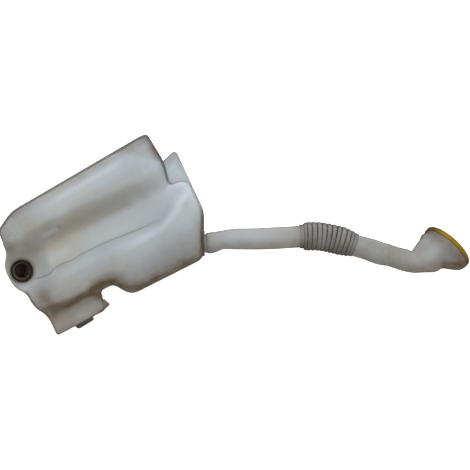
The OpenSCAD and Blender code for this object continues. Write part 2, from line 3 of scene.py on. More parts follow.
import bmesh
import bpy
import numpy as np
from bpy.props import FloatProperty, FloatVectorProperty, IntProperty, PointerProperty
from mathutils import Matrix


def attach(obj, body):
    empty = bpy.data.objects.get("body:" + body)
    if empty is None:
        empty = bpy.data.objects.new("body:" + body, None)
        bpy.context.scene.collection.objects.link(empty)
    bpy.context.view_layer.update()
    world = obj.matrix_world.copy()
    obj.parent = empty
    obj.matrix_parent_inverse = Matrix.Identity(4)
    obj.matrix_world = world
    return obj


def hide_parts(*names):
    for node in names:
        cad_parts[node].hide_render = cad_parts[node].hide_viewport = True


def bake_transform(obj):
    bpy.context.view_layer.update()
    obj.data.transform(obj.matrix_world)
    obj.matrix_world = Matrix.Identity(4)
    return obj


bl_info = {
    "name": "Washer fluid reservoir",
    "version": (1, 0, 0),
    "blender": (4, 5, 0),
    "location": "3D View > Sidebar > Reservoir",
    "description": "Skins, finishes and stage for a washer fluid reservoir with a bellows filler neck",
    "category": "Object",
}

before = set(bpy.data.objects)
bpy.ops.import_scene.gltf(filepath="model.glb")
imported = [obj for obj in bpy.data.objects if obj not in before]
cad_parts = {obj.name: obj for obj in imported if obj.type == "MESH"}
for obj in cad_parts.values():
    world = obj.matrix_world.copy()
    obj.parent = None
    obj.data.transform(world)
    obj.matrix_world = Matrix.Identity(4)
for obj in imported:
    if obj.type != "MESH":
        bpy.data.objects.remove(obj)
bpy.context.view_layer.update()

MM = 0.001

# Tank sizes, in millimetres, along (u) and across (v) its own long axis.
YAW = math.radians(29.5)
HALF_L, HALF_W, DEPTH, WALL = 114.0, 88.5, 118.0, 2.4
SKIN_IN, CORNER_IN, SEAM, BACK_PANEL = 0.12, 0.35, 0.35, 1.8
SPINE_IN, SPINE_DROP = 39.0, 35.0
MARK_U, MARK_V, MARK_RISE = -56.0, 39.5, 0.8
SEAT_HOLE, SEAT_LOW, PORT_HOLE, PORT_DEEP = 13.2, 60.0, 15.4, 9.0
FRONT_ROUND, END_ROUND, FOOT_ROUND, BACK_ROUND = 12.0, 5.0, 6.0, 9.0
PARTING, FRONT_DRAFT, BACK_DRAFT = 76.0, math.radians(6), math.radians(2.5)
VALLEY, VALLEY_FADE, FLANK, FLANK_WIDTH = 29.0, 0.62, 40.0, 34.0
FLOOR_RISE, BULGE, BOTTOM_ROLL, CORNER_SLOPE = 8.0, 9.0, 13.0, 0.35
FOOT_HEIGHT, NOTCH_WIDTH, NOTCH_DIP = 75.0, 18.0, 8.0
TIP_U = -HALF_L - 18.5
PAD_U, PAD_V, PAD_Z, PAD_R = TIP_U + 20, 15.0, DEPTH - 38, 20.0
SHOULDER_U, SHOULDER_V = HALF_L + 18, -HALF_W + 55
NOTCH_V = -HALF_W + 30.5
FOOT_LEFT = -HALF_L - 0.5
FOOT_RIGHT, FOOT_BOTTOM = FOOT_LEFT + 71.5, NOTCH_V - 25
NOTCH_RIGHT = FOOT_RIGHT + 7 + NOTCH_WIDTH
TONGUE_TIP, PLATE_SIDES = 86.5, 120
PORT = np.array([SHOULDER_U * math.cos(YAW) - SHOULDER_V * math.sin(YAW), -7.0, 66.0])
PORT_RUN = (SHOULDER_V + HALF_W - 1) * math.tan(YAW)

# Outline corners: along, across, length of rounding, station on the spine.
TOP_ROWS = np.array([
    [TIP_U, PAD_V, 0, -1],
    [TIP_U + 1, PAD_V + 17, 12, -0.75],
    [-HALF_L - 4, PAD_V + 30, 9, -0.55],
    [-HALF_L - 0.5, HALF_W - 12, 6, -0.2],
    [-HALF_L + 26, HALF_W + 1, 12, 0],
    [HALF_L - 12, HALF_W + 3.5, 5, 0.94],
    [HALF_L + 2.5, HALF_W + 2.5, 6, 1],
    [HALF_L + 4, SHOULDER_V + 82, 10, 1.3],
    [HALF_L - 4, SHOULDER_V + 51.5, 6, 1.6],
    [HALF_L + 10, SHOULDER_V + 50, 6, 1.72],
    [SHOULDER_U + 3, SHOULDER_V + 41, 7, 1.82],
    [SHOULDER_U + 1, SHOULDER_V + 14, 0, 2],
])
BOTTOM_ROWS = np.array([
    [TIP_U, PAD_V, 0, -1],
    [TIP_U + 0.2, PAD_V - 16, 11, -0.8],
    [-HALF_L - 8, PAD_V - 28, 8, -0.65],
    [-HALF_L - 8.3, -HALF_W + 54, 10, -0.45],
    [-HALF_L + 1.5, NOTCH_V + 6, 9, -0.25],
    [FOOT_LEFT, FOOT_BOTTOM + 2, 4, 0],
    [FOOT_RIGHT, FOOT_BOTTOM, 5, 0.1],
    [FOOT_RIGHT + 7, NOTCH_V, 5, 0.14],
    [NOTCH_RIGHT, NOTCH_V - 1, 6, 0.28],
    [NOTCH_RIGHT + 14, -HALF_W + 6, 11, 0.42],
    [SHOULDER_U - PORT_RUN, -HALF_W + 1, 11, 0.95],
    [SHOULDER_U, SHOULDER_V, 10, 1.4],
    [SHOULDER_U + 1, SHOULDER_V + 14, 0, 2],
])

# Neck rows from the port: along, across, height, radius, direction, dip, in millimetres and degrees.
# The sleeve's rows have their share of its length in place of a radius.
LOWER_ROWS = np.array([
    [-15.5, 0, 0, 12, 0, 0],
    [1, 0, 0, 12, 0, 0],
    [2.5, 0.1, 0, 12, 4, 1],
    [5, 0.4, -0.1, 13.5, 8, 1],
    [11.5, 1.6, -0.3, 13.5, 14, 2],
    [23, 4.6, -0.64, 12.2, 11, 2],
    [40, 5.89, -1.44, 13.7, 1, 3],
    [66, 6.07, -3.04, 14, 2, 4],
    [98, 7.36, -5.6, 14.1, 3, 5],
    [123, 9, -7.9, 14.2, 2, 5],
    [128.5, 9.3, -8.4, 14.2, 1, 5],
])
SLEEVE_ROWS = np.array([
    [124, 9.2, -8, 0, 2, 5],
    [128.5, 9.3, -8.4, 0.0625, 1, 5],
    [149.92, 9.2, -10.64, 0.36, -4, 6],
    [174.4, 4.33, -13.52, 0.7, -15, 6],
    [191.5, -0.9, -15.6, 0.9375, -19, 5],
    [196, -2.4, -16, 1, -19, 5],
])
UPPER_ROWS = np.array([
    [191.5, -0.9, -15.6, 14.2, -19, 5],
    [196, -2.4, -16, 14.2, -19, 5],
    [215, -7.79, -17.2, 14.5, -19, 4],
    [228, -12.44, -18, 14.3, -17, 3],
    [240, -15.23, -18.72, 13.9, -15, 3],
    [252, -18.95, -19.48, 14, -14, 4],
    [260, -21, -20, 14.7, -9, 5],
    [270.7, -22.4, -21, 15.7, 0, 6],
    [280.5, -20.3, -21.6, 18.3, 18, 9],
    [290.5, -17.2, -22, 23, 33, 14],
    [297.3, -13, -22.6, 26.6, 43, 18],
    [303.3, -11.3, -23.4, 31.3, 48, 20],
    [308, -10.2, -24.2, 33.1, 48, 20],
    [311.9, -9.8, -25, 32.5, 48, 20],
])
# Wall of the neck tubes, and how much the inner walls are darkened, on the scale of dirt and painted shade.
NECK_WALL, INSIDE_DARKENING = 1.6, 0.6
MOUTH_YAW, MOUTH_DIP, MOUTH_R, MOUTH_WALL, MOUTH_LENGTH = 48.0, 20.0, 32.6, 2.2, 8.8
CUFF, RIBS, RIB_R, GROOVE, SLEEVE_WALL, SLEEVE_END = 0.0625, 11, 18.8, 0.8, 1.1, 15.6
CAP_R, CAP_TOP, CAP_SKIRT, CAP_PLUG, CAP_DOME = 35.35, 1.6, 4.2, 6.0, 2.5

# Lines on the tank's front face: along, across.
CREASE = np.array([
    [-102, -2.5], [-82, -6], [-75, -3.5], [-62, -3.2], [-50, -4.6],
    [-25, -5], [5, -7.2], [43, -12.5], [73, -15.5],
])
CREASE_SPAN = 40.0
CREST = ((-96, 68), (-20, 73), (67, 74), (85, 72.5), (101, 60.5), (105, 37.5), (106, 10))
BULGE_EDGE = ((-6, -18), (12, -22), (48, -26), (72, -26), (100, -17), (110, -9.5), (119, -5.5))
END_WALL = ((117, 90), (118.5, 49), (110, 18))
CROTCH = ((112, 19), (124, 16.5), (135, 7.5))
BOTTOM_EDGE = ((-36, -58), (-18, -59), (-4, -81), (101, -87), (132, -34))
FOOT_EDGE = ((-121, -14), (-121, -36), (-113, -52), (-115, -82), (-43, -83), (-37, -62))
FOOT_CREASE = ((-112, -44), (-81, -51.5), (-52, -53.5), (-36, -53.5))

# Spots on the tank's front face: strength, along, across, width, stretch along.
SOIL_AND_SHADE_SPOTS = (
    (0.16, -97, 17, 14, 1), (0.14, -66, -4, 5, 2.2), (0.14, -75, 29, 8, 1), (0.2, -52, 51, 7, 1.6),
    (0.5, 2, -76, 9, 1), (0.85, -24, -64, 19, 1), (0.3, -42, 40, 3, 1),
)
HIGHLIGHT_SPOTS = ((0.25, 62, 23, 8, 1), (0.15, -99, 44, 10, 1))

# Stage, in metres: half the floor's side, the point that the lights face, the photo's middle and its height.
FLOOR_HALF = 6.0
LIT_X, LIT_Z = 0.15, 0.06
MIDDLE_X, MIDDLE_Y, MIDDLE_Z = 0.17125, 0.00415, 0.065

# Width of the camera's sensor, in millimetres.
SENSOR = 36.0

# Fixed colours: scratches, black for no glow, and the painted glow inside the tank.
SCRATCH, UNLIT, INSIDE_GLOW = (0.62, 0.63, 0.62, 1.0), (0.0, 0.0, 0.0, 1.0), (0.03, 0.019, 0.017, 1.0)


# Shapes

def ramp(x, a, b):
    """Smooth step from 0 at a to 1 at b."""
    t = np.clip((x - a) / (b - a), 0, 1)
    return t * t * (3 - 2 * t)


def hump(x, centre, width):
    """Bell curve of height 1."""
    return np.exp(-(((x - centre) / width) ** 2))


def spots(u, v, rows):
    """Sum of bell curves about points of the face."""
    return sum(k * hump(np.hypot((u - a) / long, v - b), 0, width) for k, a, b, width, long in rows)


def angles(sides):
    """Angles of the points round a circle."""
    return np.arange(sides) * 2 * np.pi / sides


def turned(u, v, z):
    """Tank coordinates to the frame: a turn by the tank's yaw about the vertical."""
    return np.stack([u * math.cos(YAW) - v * math.sin(YAW), u * math.sin(YAW) + v * math.cos(YAW), z], -1)


def outline(rows, station):
    """Outline point at each station: straight runs between corners, each corner a parabola."""
    corner = rows[:, :2]
    at = np.concatenate([[0], np.cumsum(np.linalg.norm(np.diff(corner, axis=0), axis=1))])
    x = np.interp(station, rows[:, 3], at)

    def straight(d):
        return np.stack([np.interp(d, at, corner[:, 0]), np.interp(d, at, corner[:, 1])], -1)

    points = straight(x)
    for i in range(len(rows) - 2, 0, -1):
        r = rows[i, 2]
        near = np.abs(x - at[i]) < r
        q = ((x[near] - at[i] + r) / (2 * r))[:, None]
        points[near] = (
            (1 - q) ** 2 * straight(at[i] - r) + 2 * q * (1 - q) * corner[i] + q * q * straight(at[i] + r)
        )
    return points


def past_facet(u, v):
    """Distance past the line where the upper right corner starts to slope."""
    return 0.667 * (u - HALF_L) + 0.745 * (v - HALF_W) + 32.2


def face_z(u, v):
    """Height of the front face: crest, long valley that fades to the right, lower right bulge, rolled bottom,
    corner facet, low foot, dip at the notch and level pump pad, each a smooth step along or across."""
    fade = 1 - VALLEY_FADE * ramp(u, HALF_L - 74, HALF_L - 6)
    flank = FLANK - 10 * ramp(u, -60, 90)
    below = 1 - ramp(v, flank - FLANK_WIDTH / 2, flank + FLANK_WIDTH / 2)
    rise = FLOOR_RISE * (1 - ramp(v, -8, 22))
    bulge_v = -22 + 20 * ramp(u, 60, HALF_L - 2)
    bulge = BULGE * (1 - ramp(v, bulge_v - 9, bulge_v + 7)) * ramp(u, -30, 25)
    roll = BOTTOM_ROLL * (1 - ramp(v, -HALF_W + 3, -HALF_W + 45))
    facet = CORNER_SLOPE * np.maximum(0, past_facet(u, v))
    body = DEPTH - VALLEY * fade * below + rise * fade + bulge - roll - facet
    foot_v = NOTCH_V + 10 - 0.14 * (u - FOOT_LEFT)
    foot = (1 - ramp(v, foot_v - 9, foot_v + 9)) * (1 - ramp(u, FOOT_RIGHT + 4, FOOT_RIGHT + 20))
    notch = np.hypot((u - FOOT_RIGHT - 7 - NOTCH_WIDTH / 2) * 0.8, v - NOTCH_V + 6)
    dip = NOTCH_DIP * (1 - ramp(notch, 10, 26)) * (1 - foot)
    main = body + (FOOT_HEIGHT - body) * foot - dip
    pad = 1 - ramp(np.hypot(u - PAD_U, v - PAD_V), PAD_R - 3, PAD_R + 22)
    return main + (PAD_Z - main) * pad


def skin_z(u, v, wall):
    """Height of a skin a wall's thickness below the face, deeper where the face is steep."""
    if wall == 0:
        mark = (1 - ramp(np.abs(u - MARK_U), 10, 14)) * (1 - ramp(np.abs(v - MARK_V), 2, 5))
        return face_z(u, v) + MARK_RISE * mark
    du = (face_z(u + 1, v) - face_z(u - 1, v)) / 2
    dv = (face_z(u, v + 1) - face_z(u, v - 1)) / 2
    return face_z(u, v) - wall * np.minimum(2.2, np.sqrt(1 + du * du + dv * dv))


def tank_skin(fan, mid, wall, back_steps, round_steps, face_steps):
    """Tank skin as rings round a spine: flat back, back rounding, drafted side with its parting seam, front
    rounding and front face. Each ring is the outline drawn in along rays from the spine:
    centre + ray (1 - d slant / length)."""
    s = np.concatenate([
        -1 + np.arange(fan) / fan, (np.arange(mid) / mid) ** 1.7, 1 + np.arange(fan + 1) / fan,
    ])
    t = np.clip(s, 0, 1)
    spine = np.stack([-HALF_L + SPINE_IN + 2 * (HALF_L - SPINE_IN) * t, -SPINE_DROP + SPINE_DROP * t], -1)
    back = slice(-2, 0, -1)
    centre = np.concatenate([spine, spine[back]])
    edge = np.concatenate([outline(TOP_ROWS, s), outline(BOTTOM_ROWS, s)[back]])
    end = (END_ROUND - FRONT_ROUND) * ramp(s, 0.97, 1.12) * (1 - ramp(s, 1.5, 1.7))
    foot = (FOOT_ROUND - FRONT_ROUND) * ramp(s, -0.8, -0.5) * (1 - ramp(s, 0.14, 0.22))
    bend = FRONT_ROUND + np.concatenate([end, foot[back]])
    ray = edge - centre
    length = np.linalg.norm(ray, axis=1)
    along = np.roll(edge, -1, 0) - np.roll(edge, 1, 0)
    square = np.abs(along[:, 1] * ray[:, 0] - along[:, 0] * ray[:, 1])
    slant = 1 / np.maximum(0.75, square / (np.linalg.norm(along, axis=1) * length))
    reach = 2 * round(fan * 0.22) + 1
    padded = np.concatenate([slant[-(reach // 2):], slant, slant[:reach // 2]])
    slant = np.convolve(padded, np.full(reach, 1 / reach), "valid")
    corner = CORNER_IN * ramp(s, -0.5, -0.3) * (1 - ramp(s, -0.1, 0.1))
    close = SKIN_IN + np.concatenate([corner, 0 * s[back]])

    def inset(d, k=1.0):
        return centre + ray * (np.maximum(0, 1 - (d + close) * slant / length) * k)[:, None]

    def level(p, z):
        return np.column_stack([p, np.broadcast_to(z, len(p))])

    start = inset(bend + wall)
    start_z = skin_z(start[:, 0], start[:, 1], wall)
    side_z = np.minimum(PARTING, start_z - bend - 2)
    front_in = (start_z - bend - side_z) * math.tan(FRONT_DRAFT) + wall + SEAM
    back_in = PARTING * math.tan(BACK_DRAFT) + wall + SEAM
    rings = []
    for k in np.linspace(0, 1, back_steps):
        panel = BACK_PANEL * (1 - ramp(k, 0.74, 0.8)) if wall == 0 else 0
        rings.append(level(inset(back_in + BACK_ROUND, k), wall + panel))
    for a in np.linspace(0, math.pi / 2, round_steps)[1:]:
        drawn = back_in + BACK_ROUND * (1 - math.sin(a))
        rings.append(level(inset(drawn), wall + BACK_ROUND * (1 - math.cos(a))))
    low = wall + BACK_ROUND
    for f in (0.25, 0.5, 0.75, 0.92):
        rings.append(level(inset(back_in + (wall + SEAM - back_in) * f), low + (side_z - 1.2 - low) * f))
    for dz, out in ((-1.2, 0), (-0.45, 0.8), (0.45, 0.8), (1.2, 0)):
        rings.append(level(inset(wall + SEAM * (1 - out)), side_z + dz))

    def rounding(a):
        p = inset(front_in + bend * (1 - math.cos(a)))
        z = skin_z(p[:, 0], p[:, 1], wall) - bend * (1 - math.sin(a))
        return level(p, np.maximum(side_z + 1.5 + a, z))

    top = rounding(0)
    for g in (0.3, 0.65):
        rings.append(rings[-1] + (top - rings[-1]) * g)
    for a in np.linspace(0, math.pi / 2, round_steps + 2):
        rings.append(rounding(a))
    for k in np.linspace(1, 0, face_steps)[1:]:
        p = inset(front_in + bend, k)
        rings.append(level(p, np.maximum(side_z + 3.1 + 0.1 * (1 - k), skin_z(p[:, 0], p[:, 1], wall))))
    return np.array(rings)


def curve_rows(rows, t):
    """Catmull-Rom curve through the rows at parameters t."""
    n = len(rows) - 1
    i = np.minimum(n - 1, np.floor(t).astype(int))
    f = (t - i)[:, None]
    a, b, c, d = rows[np.maximum(0, i - 1)], rows[i], rows[i + 1], rows[np.minimum(n, i + 2)]
    return (
        b + (c - a) * f / 2 + (2 * a - 5 * b + 4 * c - d) * f ** 2 / 2 + (3 * b - a - 3 * c + d) * f ** 3 / 2
    )


def hoops(rows, radius, sides):
    """Circles along a route: each row gives a centre, a direction and a dip, and the circle is square to them."""
    y, p = np.radians(rows[:, 4])[:, None, None], np.radians(rows[:, 5])[:, None, None]
    phi = angles(sides)
    across = np.concatenate([-np.sin(y), np.cos(y), 0 * y], -1)
    upward = np.concatenate([np.sin(p) * np.cos(y), np.sin(p) * np.sin(y), np.cos(p)], -1)
    r = np.broadcast_to(np.asarray(radius, float).reshape(len(rows), -1), (len(rows), sides))[:, :, None]
    ring = np.cos(phi)[None, :, None] * across + np.sin(phi)[None, :, None] * upward
    return PORT + rows[:, None, :3] + r * ring


def mouth_rows(height):
    """Rows on the mouth's axis at heights above the start of its straight wall."""
    y, p = math.radians(MOUTH_YAW), math.radians(MOUTH_DIP)
    axis = np.array([math.cos(p) * math.cos(y), math.cos(p) * math.sin(y), -math.sin(p)])
    h = np.asarray(height, float)
    centre = UPPER_ROWS[-1, :3] + axis * (h[:, None] - 1)
    still = np.ones_like(h)
    return np.column_stack([centre, still, still * MOUTH_YAW, still * MOUTH_DIP])


def rounded_profile(corners, rounding, steps):
    """Closed profile whose corners are parabolas that start a rounding's length before each corner."""
    c = np.asarray(corners, float)
    before, after = np.roll(c, 1, 0) - c, np.roll(c, -1, 0) - c
    r = np.broadcast_to(np.asarray(rounding, float), len(c))
    short = np.minimum(np.linalg.norm(before, axis=1), np.linalg.norm(after, axis=1)) * 0.45
    r = np.minimum(r, short)[:, None]
    a = c + before / np.linalg.norm(before, axis=1)[:, None] * r
    b = c + after / np.linalg.norm(after, axis=1)[:, None] * r
    q = np.linspace(0, 1, steps)[None, :, None]
    return ((1 - q) ** 2 * a[:, None] + 2 * q * (1 - q) * c[:, None] + q * q * b[:, None]).reshape(-1, 2)


def plate(u, v, circles, low, high, rounding):
    """Plate whose outline is the band round a set of circles about a point, with rounded edges: the outline in
    every direction is the furthest circle's edge, and rings run from one face's middle to the other's."""
    c = np.array([u, v, 0]) + circles
    phi = angles(PLATE_SIDES)
    out = np.stack([np.cos(phi), np.sin(phi)], -1)
    far = np.argmax(out @ c[:, :2].T + c[:, 2], axis=1)
    middle = c[:, :2].mean(0)
    flat = c[far, :2] + (c[far, 2:] - rounding) * out - middle
    rings = [(middle + flat * k, low) for k in (0, 0.5, 0.9)]
    for a in np.linspace(0, math.pi, 9):
        z = low + rounding * (1 - math.cos(a)) if a < math.pi / 2 else high - rounding * (1 + math.cos(a))
        rings.append((c[far, :2] + (c[far, 2:] - rounding * (1 - math.sin(a))) * out, z))
    rings += [(middle + flat * k, high) for k in (0.9, 0.5, 0)]
    return np.array([turned(p[:, 0], p[:, 1], np.full(PLATE_SIDES, z)) for p, z in rings])


# Meshes

def quads(grid, wrap_rows=False, inward=False):
    """Points and outward faces of a grid that closes round its columns, and round its rows if it is a loop."""
    m, n = grid.shape[:2]
    j, i = np.meshgrid(np.arange(m if wrap_rows else m - 1), np.arange(n), indexing="ij")
    j2, i2 = (j + 1) % m, (i + 1) % n
    faces = np.stack([j * n + i, j * n + i2, j2 * n + i2, j2 * n + i], -1).reshape(-1, 4)
    points = grid.reshape(-1, 3)
    p = points[faces]
    volume = np.einsum("ij,ij->", p[:, 0], np.cross(p[:, 1], p[:, 2]))
    volume += np.einsum("ij,ij->", p[:, 0], np.cross(p[:, 2], p[:, 3]))
    if (volume < 0) != inward:
        faces = faces[:, ::-1]
    return points, faces


def pump_ring(profile, sides, rise=0.0):
    """Ring about the pump hole, turned from a profile of radius and height."""
    phi = angles(sides)
    ring = np.array([PAD_U, PAD_V]) + profile[:, None, :1] * np.stack([np.cos(phi), np.sin(phi)], -1)[None]
    z = rise + np.broadcast_to(profile[:, 1:], (len(profile), sides))
    return quads(turned(ring[..., 0], ring[..., 1], z), True)


def port_ring(profile, sides, shift=0.0):
    """Ring about the port's axis, turned from a profile of radius and distance along the axis."""
    rows = np.zeros((len(profile), 6))
    rows[:, 0] = profile[:, 1] + shift
    return quads(hoops(rows, profile[:, :1], sides), True)


def make_piece(name, parts, marks, material, slot, body, *nodes):
    """One object from several grids, with point attributes, closed poles and smooth faces, that rides on a body
    and stands for its CAD nodes. The side attribute is 0 where a face looks up and 1 where it is upright."""
    start = np.cumsum([0] + [len(p) for p, _ in parts])
    points = np.concatenate([p for p, _ in parts]) * MM
    faces = np.concatenate([f + s for (_, f), s in zip(parts, start)])
    mesh = bpy.data.meshes.new(name)
    mesh.from_pydata(points.tolist(), [], faces.tolist())
    for key, values in marks.items():
        mark = mesh.attributes.new(key, "FLOAT", "POINT")
        mark.data.foreach_set("value", np.concatenate([np.ravel(v) for v in values]).astype(np.float32))
    work = bmesh.new()
    work.from_mesh(mesh)
    bmesh.ops.remove_doubles(work, verts=work.verts, dist=2e-6)
    bmesh.ops.dissolve_degenerate(work, edges=work.edges, dist=2e-6)
    work.to_mesh(mesh)
    work.free()
    mesh.polygons.foreach_set("use_smooth", np.ones(len(mesh.polygons), bool))
    normal = np.empty(len(mesh.vertices) * 3, np.float32)
    mesh.vertex_normals.foreach_get("vector", normal)
    side = mesh.attributes.new("side", "FLOAT", "POINT")
    side.data.foreach_set("value", 1 - np.clip(normal[2::3], 0, 1))
    piece = bpy.data.objects.new(name, mesh)
    bpy.context.scene.collection.objects.link(piece)
    piece.data.materials.append(material)
    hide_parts(*nodes)
    if body:
        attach(piece, body)
    return piece


# Finishes

def add(tree, kind, inputs=None, **settings):
    """New shader node with its settings, each input either a value or a link."""
    made = tree.nodes.new(kind)
    for key, value in settings.items():
        setattr(made, key, value)
    for key, value in (inputs or {}).items():
        if isinstance(value, bpy.types.NodeSocket):
            tree.links.new(value, made.inputs[key])
        else:
            made.inputs[key].default_value = value
    return made


def new_group(name, output, **values):
    """Empty shader group that takes a vector and named values, and puts out one value."""
    tree = bpy.data.node_groups.new(name, "ShaderNodeTree")
    tree.interface.new_socket(name="Vector", in_out="INPUT", socket_type="NodeSocketVector")
    for key, value in values.items():
        tree.interface.new_socket(name=key, in_out="INPUT", socket_type="NodeSocketFloat").default_value = value
    tree.interface.new_socket(name=output, in_out="OUTPUT", socket_type="NodeSocketFloat")
    return tree, add(tree, "NodeGroupInput").outputs, add(tree, "NodeGroupOutput").inputs[output]


def math_node(tree, operation, a, b=0.0, clamp=False):
    """One operation on two values or links."""
    return add(tree, "ShaderNodeMath", {0: a, 1: b}, operation=operation, use_clamp=clamp).outputs[0]


def times(tree, a, b):
    """Product of two values or links."""
    return math_node(tree, "MULTIPLY", a, b)


def attribute(tree, name):
    """Value of a point attribute."""
    return add(tree, "ShaderNodeAttribute", attribute_name=name).outputs["Fac"]


def noise(tree, vector, scale, detail, rough=0.5):
    """Layered noise between 0 and 1."""
    return add(tree, "ShaderNodeTexNoise", {
        "Vector": vector, "Scale": scale, "Detail": detail, "Roughness": rough,
    }).outputs["Fac"]


def stretch(tree, value, low, high, first=0.0, last=1.0, **settings):
    """Value mapped from low and high to first and last, held at both ends."""
    return add(tree, "ShaderNodeMapRange", {
        "Value": value, "From Min": low, "From Max": high, "To Min": first, "To Max": last,
    }, **settings).outputs[0]


def about_z(tree, vector, angle):
    """Coordinates turned about the vertical."""
    made = add(tree, "ShaderNodeVectorRotate", {"Vector": vector, "Angle": angle}, rotation_type="Z_AXIS")
    return made.outputs[0]


def shared(name):
    """Marks a function that builds a node group: the group is built once, then found by its name."""
    def wrap(build):
        return lambda: bpy.data.node_groups.get(name) or build(name)
    return wrap


@shared("cloudy patches")
def cloudy_group(name):
    """Soft patches: layered noise with its contrast stretched between two levels."""
    tree, given, out = new_group(name, "Mask", Scale=10.0, From=0.35, To=0.65)
    cloud = noise(tree, given["Vector"], given["Scale"], 4.0, 0.55)
    tree.links.new(stretch(tree, cloud, given["From"], given["To"]), out)
    return tree


@shared("grime")
def grime_and_shade_group(name):
    """Staining and painted shade: the piece's own value of dirt and painted shade, broken up by noise, with
    scattered specks.
    """
    tree, given, out = new_group(name, "Mask", Soil=0.0, Amount=1.0, Specks=0.3)
    lift = stretch(tree, noise(tree, given["Vector"], 55.0, 5.0), 0.3, 0.7, 0.75, 1.2)
    stain_and_shade = times(tree, given["Soil"], lift)
    stain_and_shade = times(tree, stain_and_shade, given["Amount"])
    dots = stretch(tree, noise(tree, given["Vector"], 420.0, 2.0), 0.64, 0.74)
    speck = times(tree, dots, given["Specks"])
    tree.links.new(math_node(tree, "ADD", stain_and_shade, speck, True), out)
    return tree


@shared("scuffs")
def scuff_group(name):
    """Fine scratches: noise stretched along one way, cut to thin lines."""
    tree, given, out = new_group(name, "Mask", Turn=0.5)
    own = about_z(tree, given["Vector"], given["Turn"])
    drawn = add(tree, "ShaderNodeMapping", {"Vector": own, "Scale": (22.0, 700.0, 260.0)})
    lines = noise(tree, drawn.outputs[0], 1.0, 2.0)
    tree.links.new(stretch(tree, lines, 0.66, 0.72), out)
    return tree


@shared("moulded grain")
def grain_group(name):
    """Moulded surface: fine orange peel over slow waves, as a height."""
    tree, given, out = new_group(name, "Height", Fine=700.0, Waves=40.0)
    small = times(tree, noise(tree, given["Vector"], given["Fine"], 3.0), 0.12)
    slow = noise(tree, given["Vector"], given["Waves"], 2.0)
    tree.links.new(math_node(tree, "ADD", small, slow), out)
    return tree


@shared("crease line")
def crease_group(name):
    """Painted shade in the tank's moulded crease: a thin dark line whose place across the face follows a curve
    along it.
    The curve's values of 0 to 1 stand for the crease's span across the face."""
    tree, given, out = new_group(name, "Mask")
    part = add(tree, "ShaderNodeSeparateXYZ", {0: about_z(tree, given["Vector"], -YAW)}).outputs
    low, high = CREASE[0, 0] * MM, CREASE[-1, 0] * MM
    curve = add(tree, "ShaderNodeFloatCurve", {"Value": stretch(tree, part["X"], low, high)})
    line = curve.mapping.curves[0]
    for u, v in CREASE[1:-1]:
        line.points.new((u * MM - low) / (high - low), 0.5 + v / CREASE_SPAN)
    line.points[0].location = (0, 0.5 + CREASE[0, 1] / CREASE_SPAN)
    line.points[-1].location = (1, 0.5 + CREASE[-1, 1] / CREASE_SPAN)
    curve.mapping.update()
    half = CREASE_SPAN / 2 * MM
    across = stretch(tree, curve.outputs[0], 0.0, 1.0, -half, half)
    off = math_node(tree, "ABSOLUTE", math_node(tree, "SUBTRACT", part["Y"], across))
    thin = stretch(tree, off, 0.2 * MM, 1.3 * MM, 1.0, 0.0)
    begin = stretch(tree, part["X"], low, low + 6 * MM)
    stop = stretch(tree, part["X"], high - 25 * MM, high, 1.0, 0.0)
    front = stretch(tree, part["Z"], 70 * MM, 80 * MM)
    ends = times(tree, times(tree, begin, stop), front)
    tree.links.new(times(tree, thin, ends), out)
    return tree


def use_group(tree, group, **inputs):
    """Output of a shared group, placed in a material with its own values."""
    return add(tree, "ShaderNodeGroup", inputs, node_tree=group).outputs[0]


def mix_colour(tree, mask, a, b):
    """Blend of two colours by a mask."""
    return add(tree, "ShaderNodeMix", {0: mask, 6: a, 7: b}, data_type="RGBA").outputs[2]


def rgba(colour):
    """Colour with full alpha."""
    return (*colour, 1.0)


def start_material(name, rough, inner):
    """Material with its shader, output, Object coordinates and soil value."""
    made = bpy.data.materials.new(name)
    made.use_nodes = True
    tree = made.node_tree
    tree.nodes.clear()
    shader = add(tree, "ShaderNodeBsdfPrincipled", {
        "Roughness": rough, "IOR": 1.5, "Specular IOR Level": 0.08, "Subsurface Weight": inner,
        "Subsurface Radius": (1.0, 0.9, 0.75), "Subsurface Scale": 0.004,
    })
    end = add(tree, "ShaderNodeOutputMaterial")
    tree.links.new(shader.outputs[0], end.inputs[0])
    place = add(tree, "ShaderNodeTexCoord").outputs["Object"]
    return made, tree, shader, place, attribute(tree, "soil_and_shade")


def soiled_and_shaded(tree, look, place, soil_and_shade, scale, contrast, amount, specks):
    """Clean and aged colours in patches, with stains and painted shade over them."""
    patch = use_group(tree, cloudy_group(), Vector=place, Scale=scale, From=0.35, To=contrast)
    colour = mix_colour(tree, patch, rgba(look.clean), rgba(look.aged))
    grime = use_group(tree, grime_and_shade_group(), Vector=place, Soil=soil_and_shade, Amount=amount, Specks=specks)
    return mix_colour(tree, grime, colour, rgba(look.stain_and_shade))


def grained(tree, shader, place, strength, distance, **sizes):
    """Moulded grain as a bump on the shader's normal."""
    height = use_group(tree, grain_group(), Vector=place, **sizes)
    bump = add(tree, "ShaderNodeBump", {"Height": height, "Strength": strength, "Distance": distance})
    tree.links.new(bump.outputs[0], shader.inputs["Normal"])


def finish_plastic(tree, shader, place, colour, rough, turn, bump):
    """Scratches that lighten, gloss that varies and fades on upright faces, then the moulded grain as a bump."""
    scuff = use_group(tree, scuff_group(), Vector=place, Turn=turn)
    worn = times(tree, scuff, 0.07)
    pale = mix_colour(tree, worn, colour, SCRATCH)
    tree.links.new(pale, shader.inputs["Base Color"])
    gloss = use_group(tree, cloudy_group(), Vector=place, Scale=45.0, From=0.3, To=0.7)
    low = times(tree, gloss, 0.16)
    dull = times(tree, attribute(tree, "side"), 0.45)
    dull = math_node(tree, "ADD", math_node(tree, "ADD", low, rough), dull, True)
    tree.links.new(dull, shader.inputs["Roughness"])
    grained(tree, shader, place, bump, 0.002)


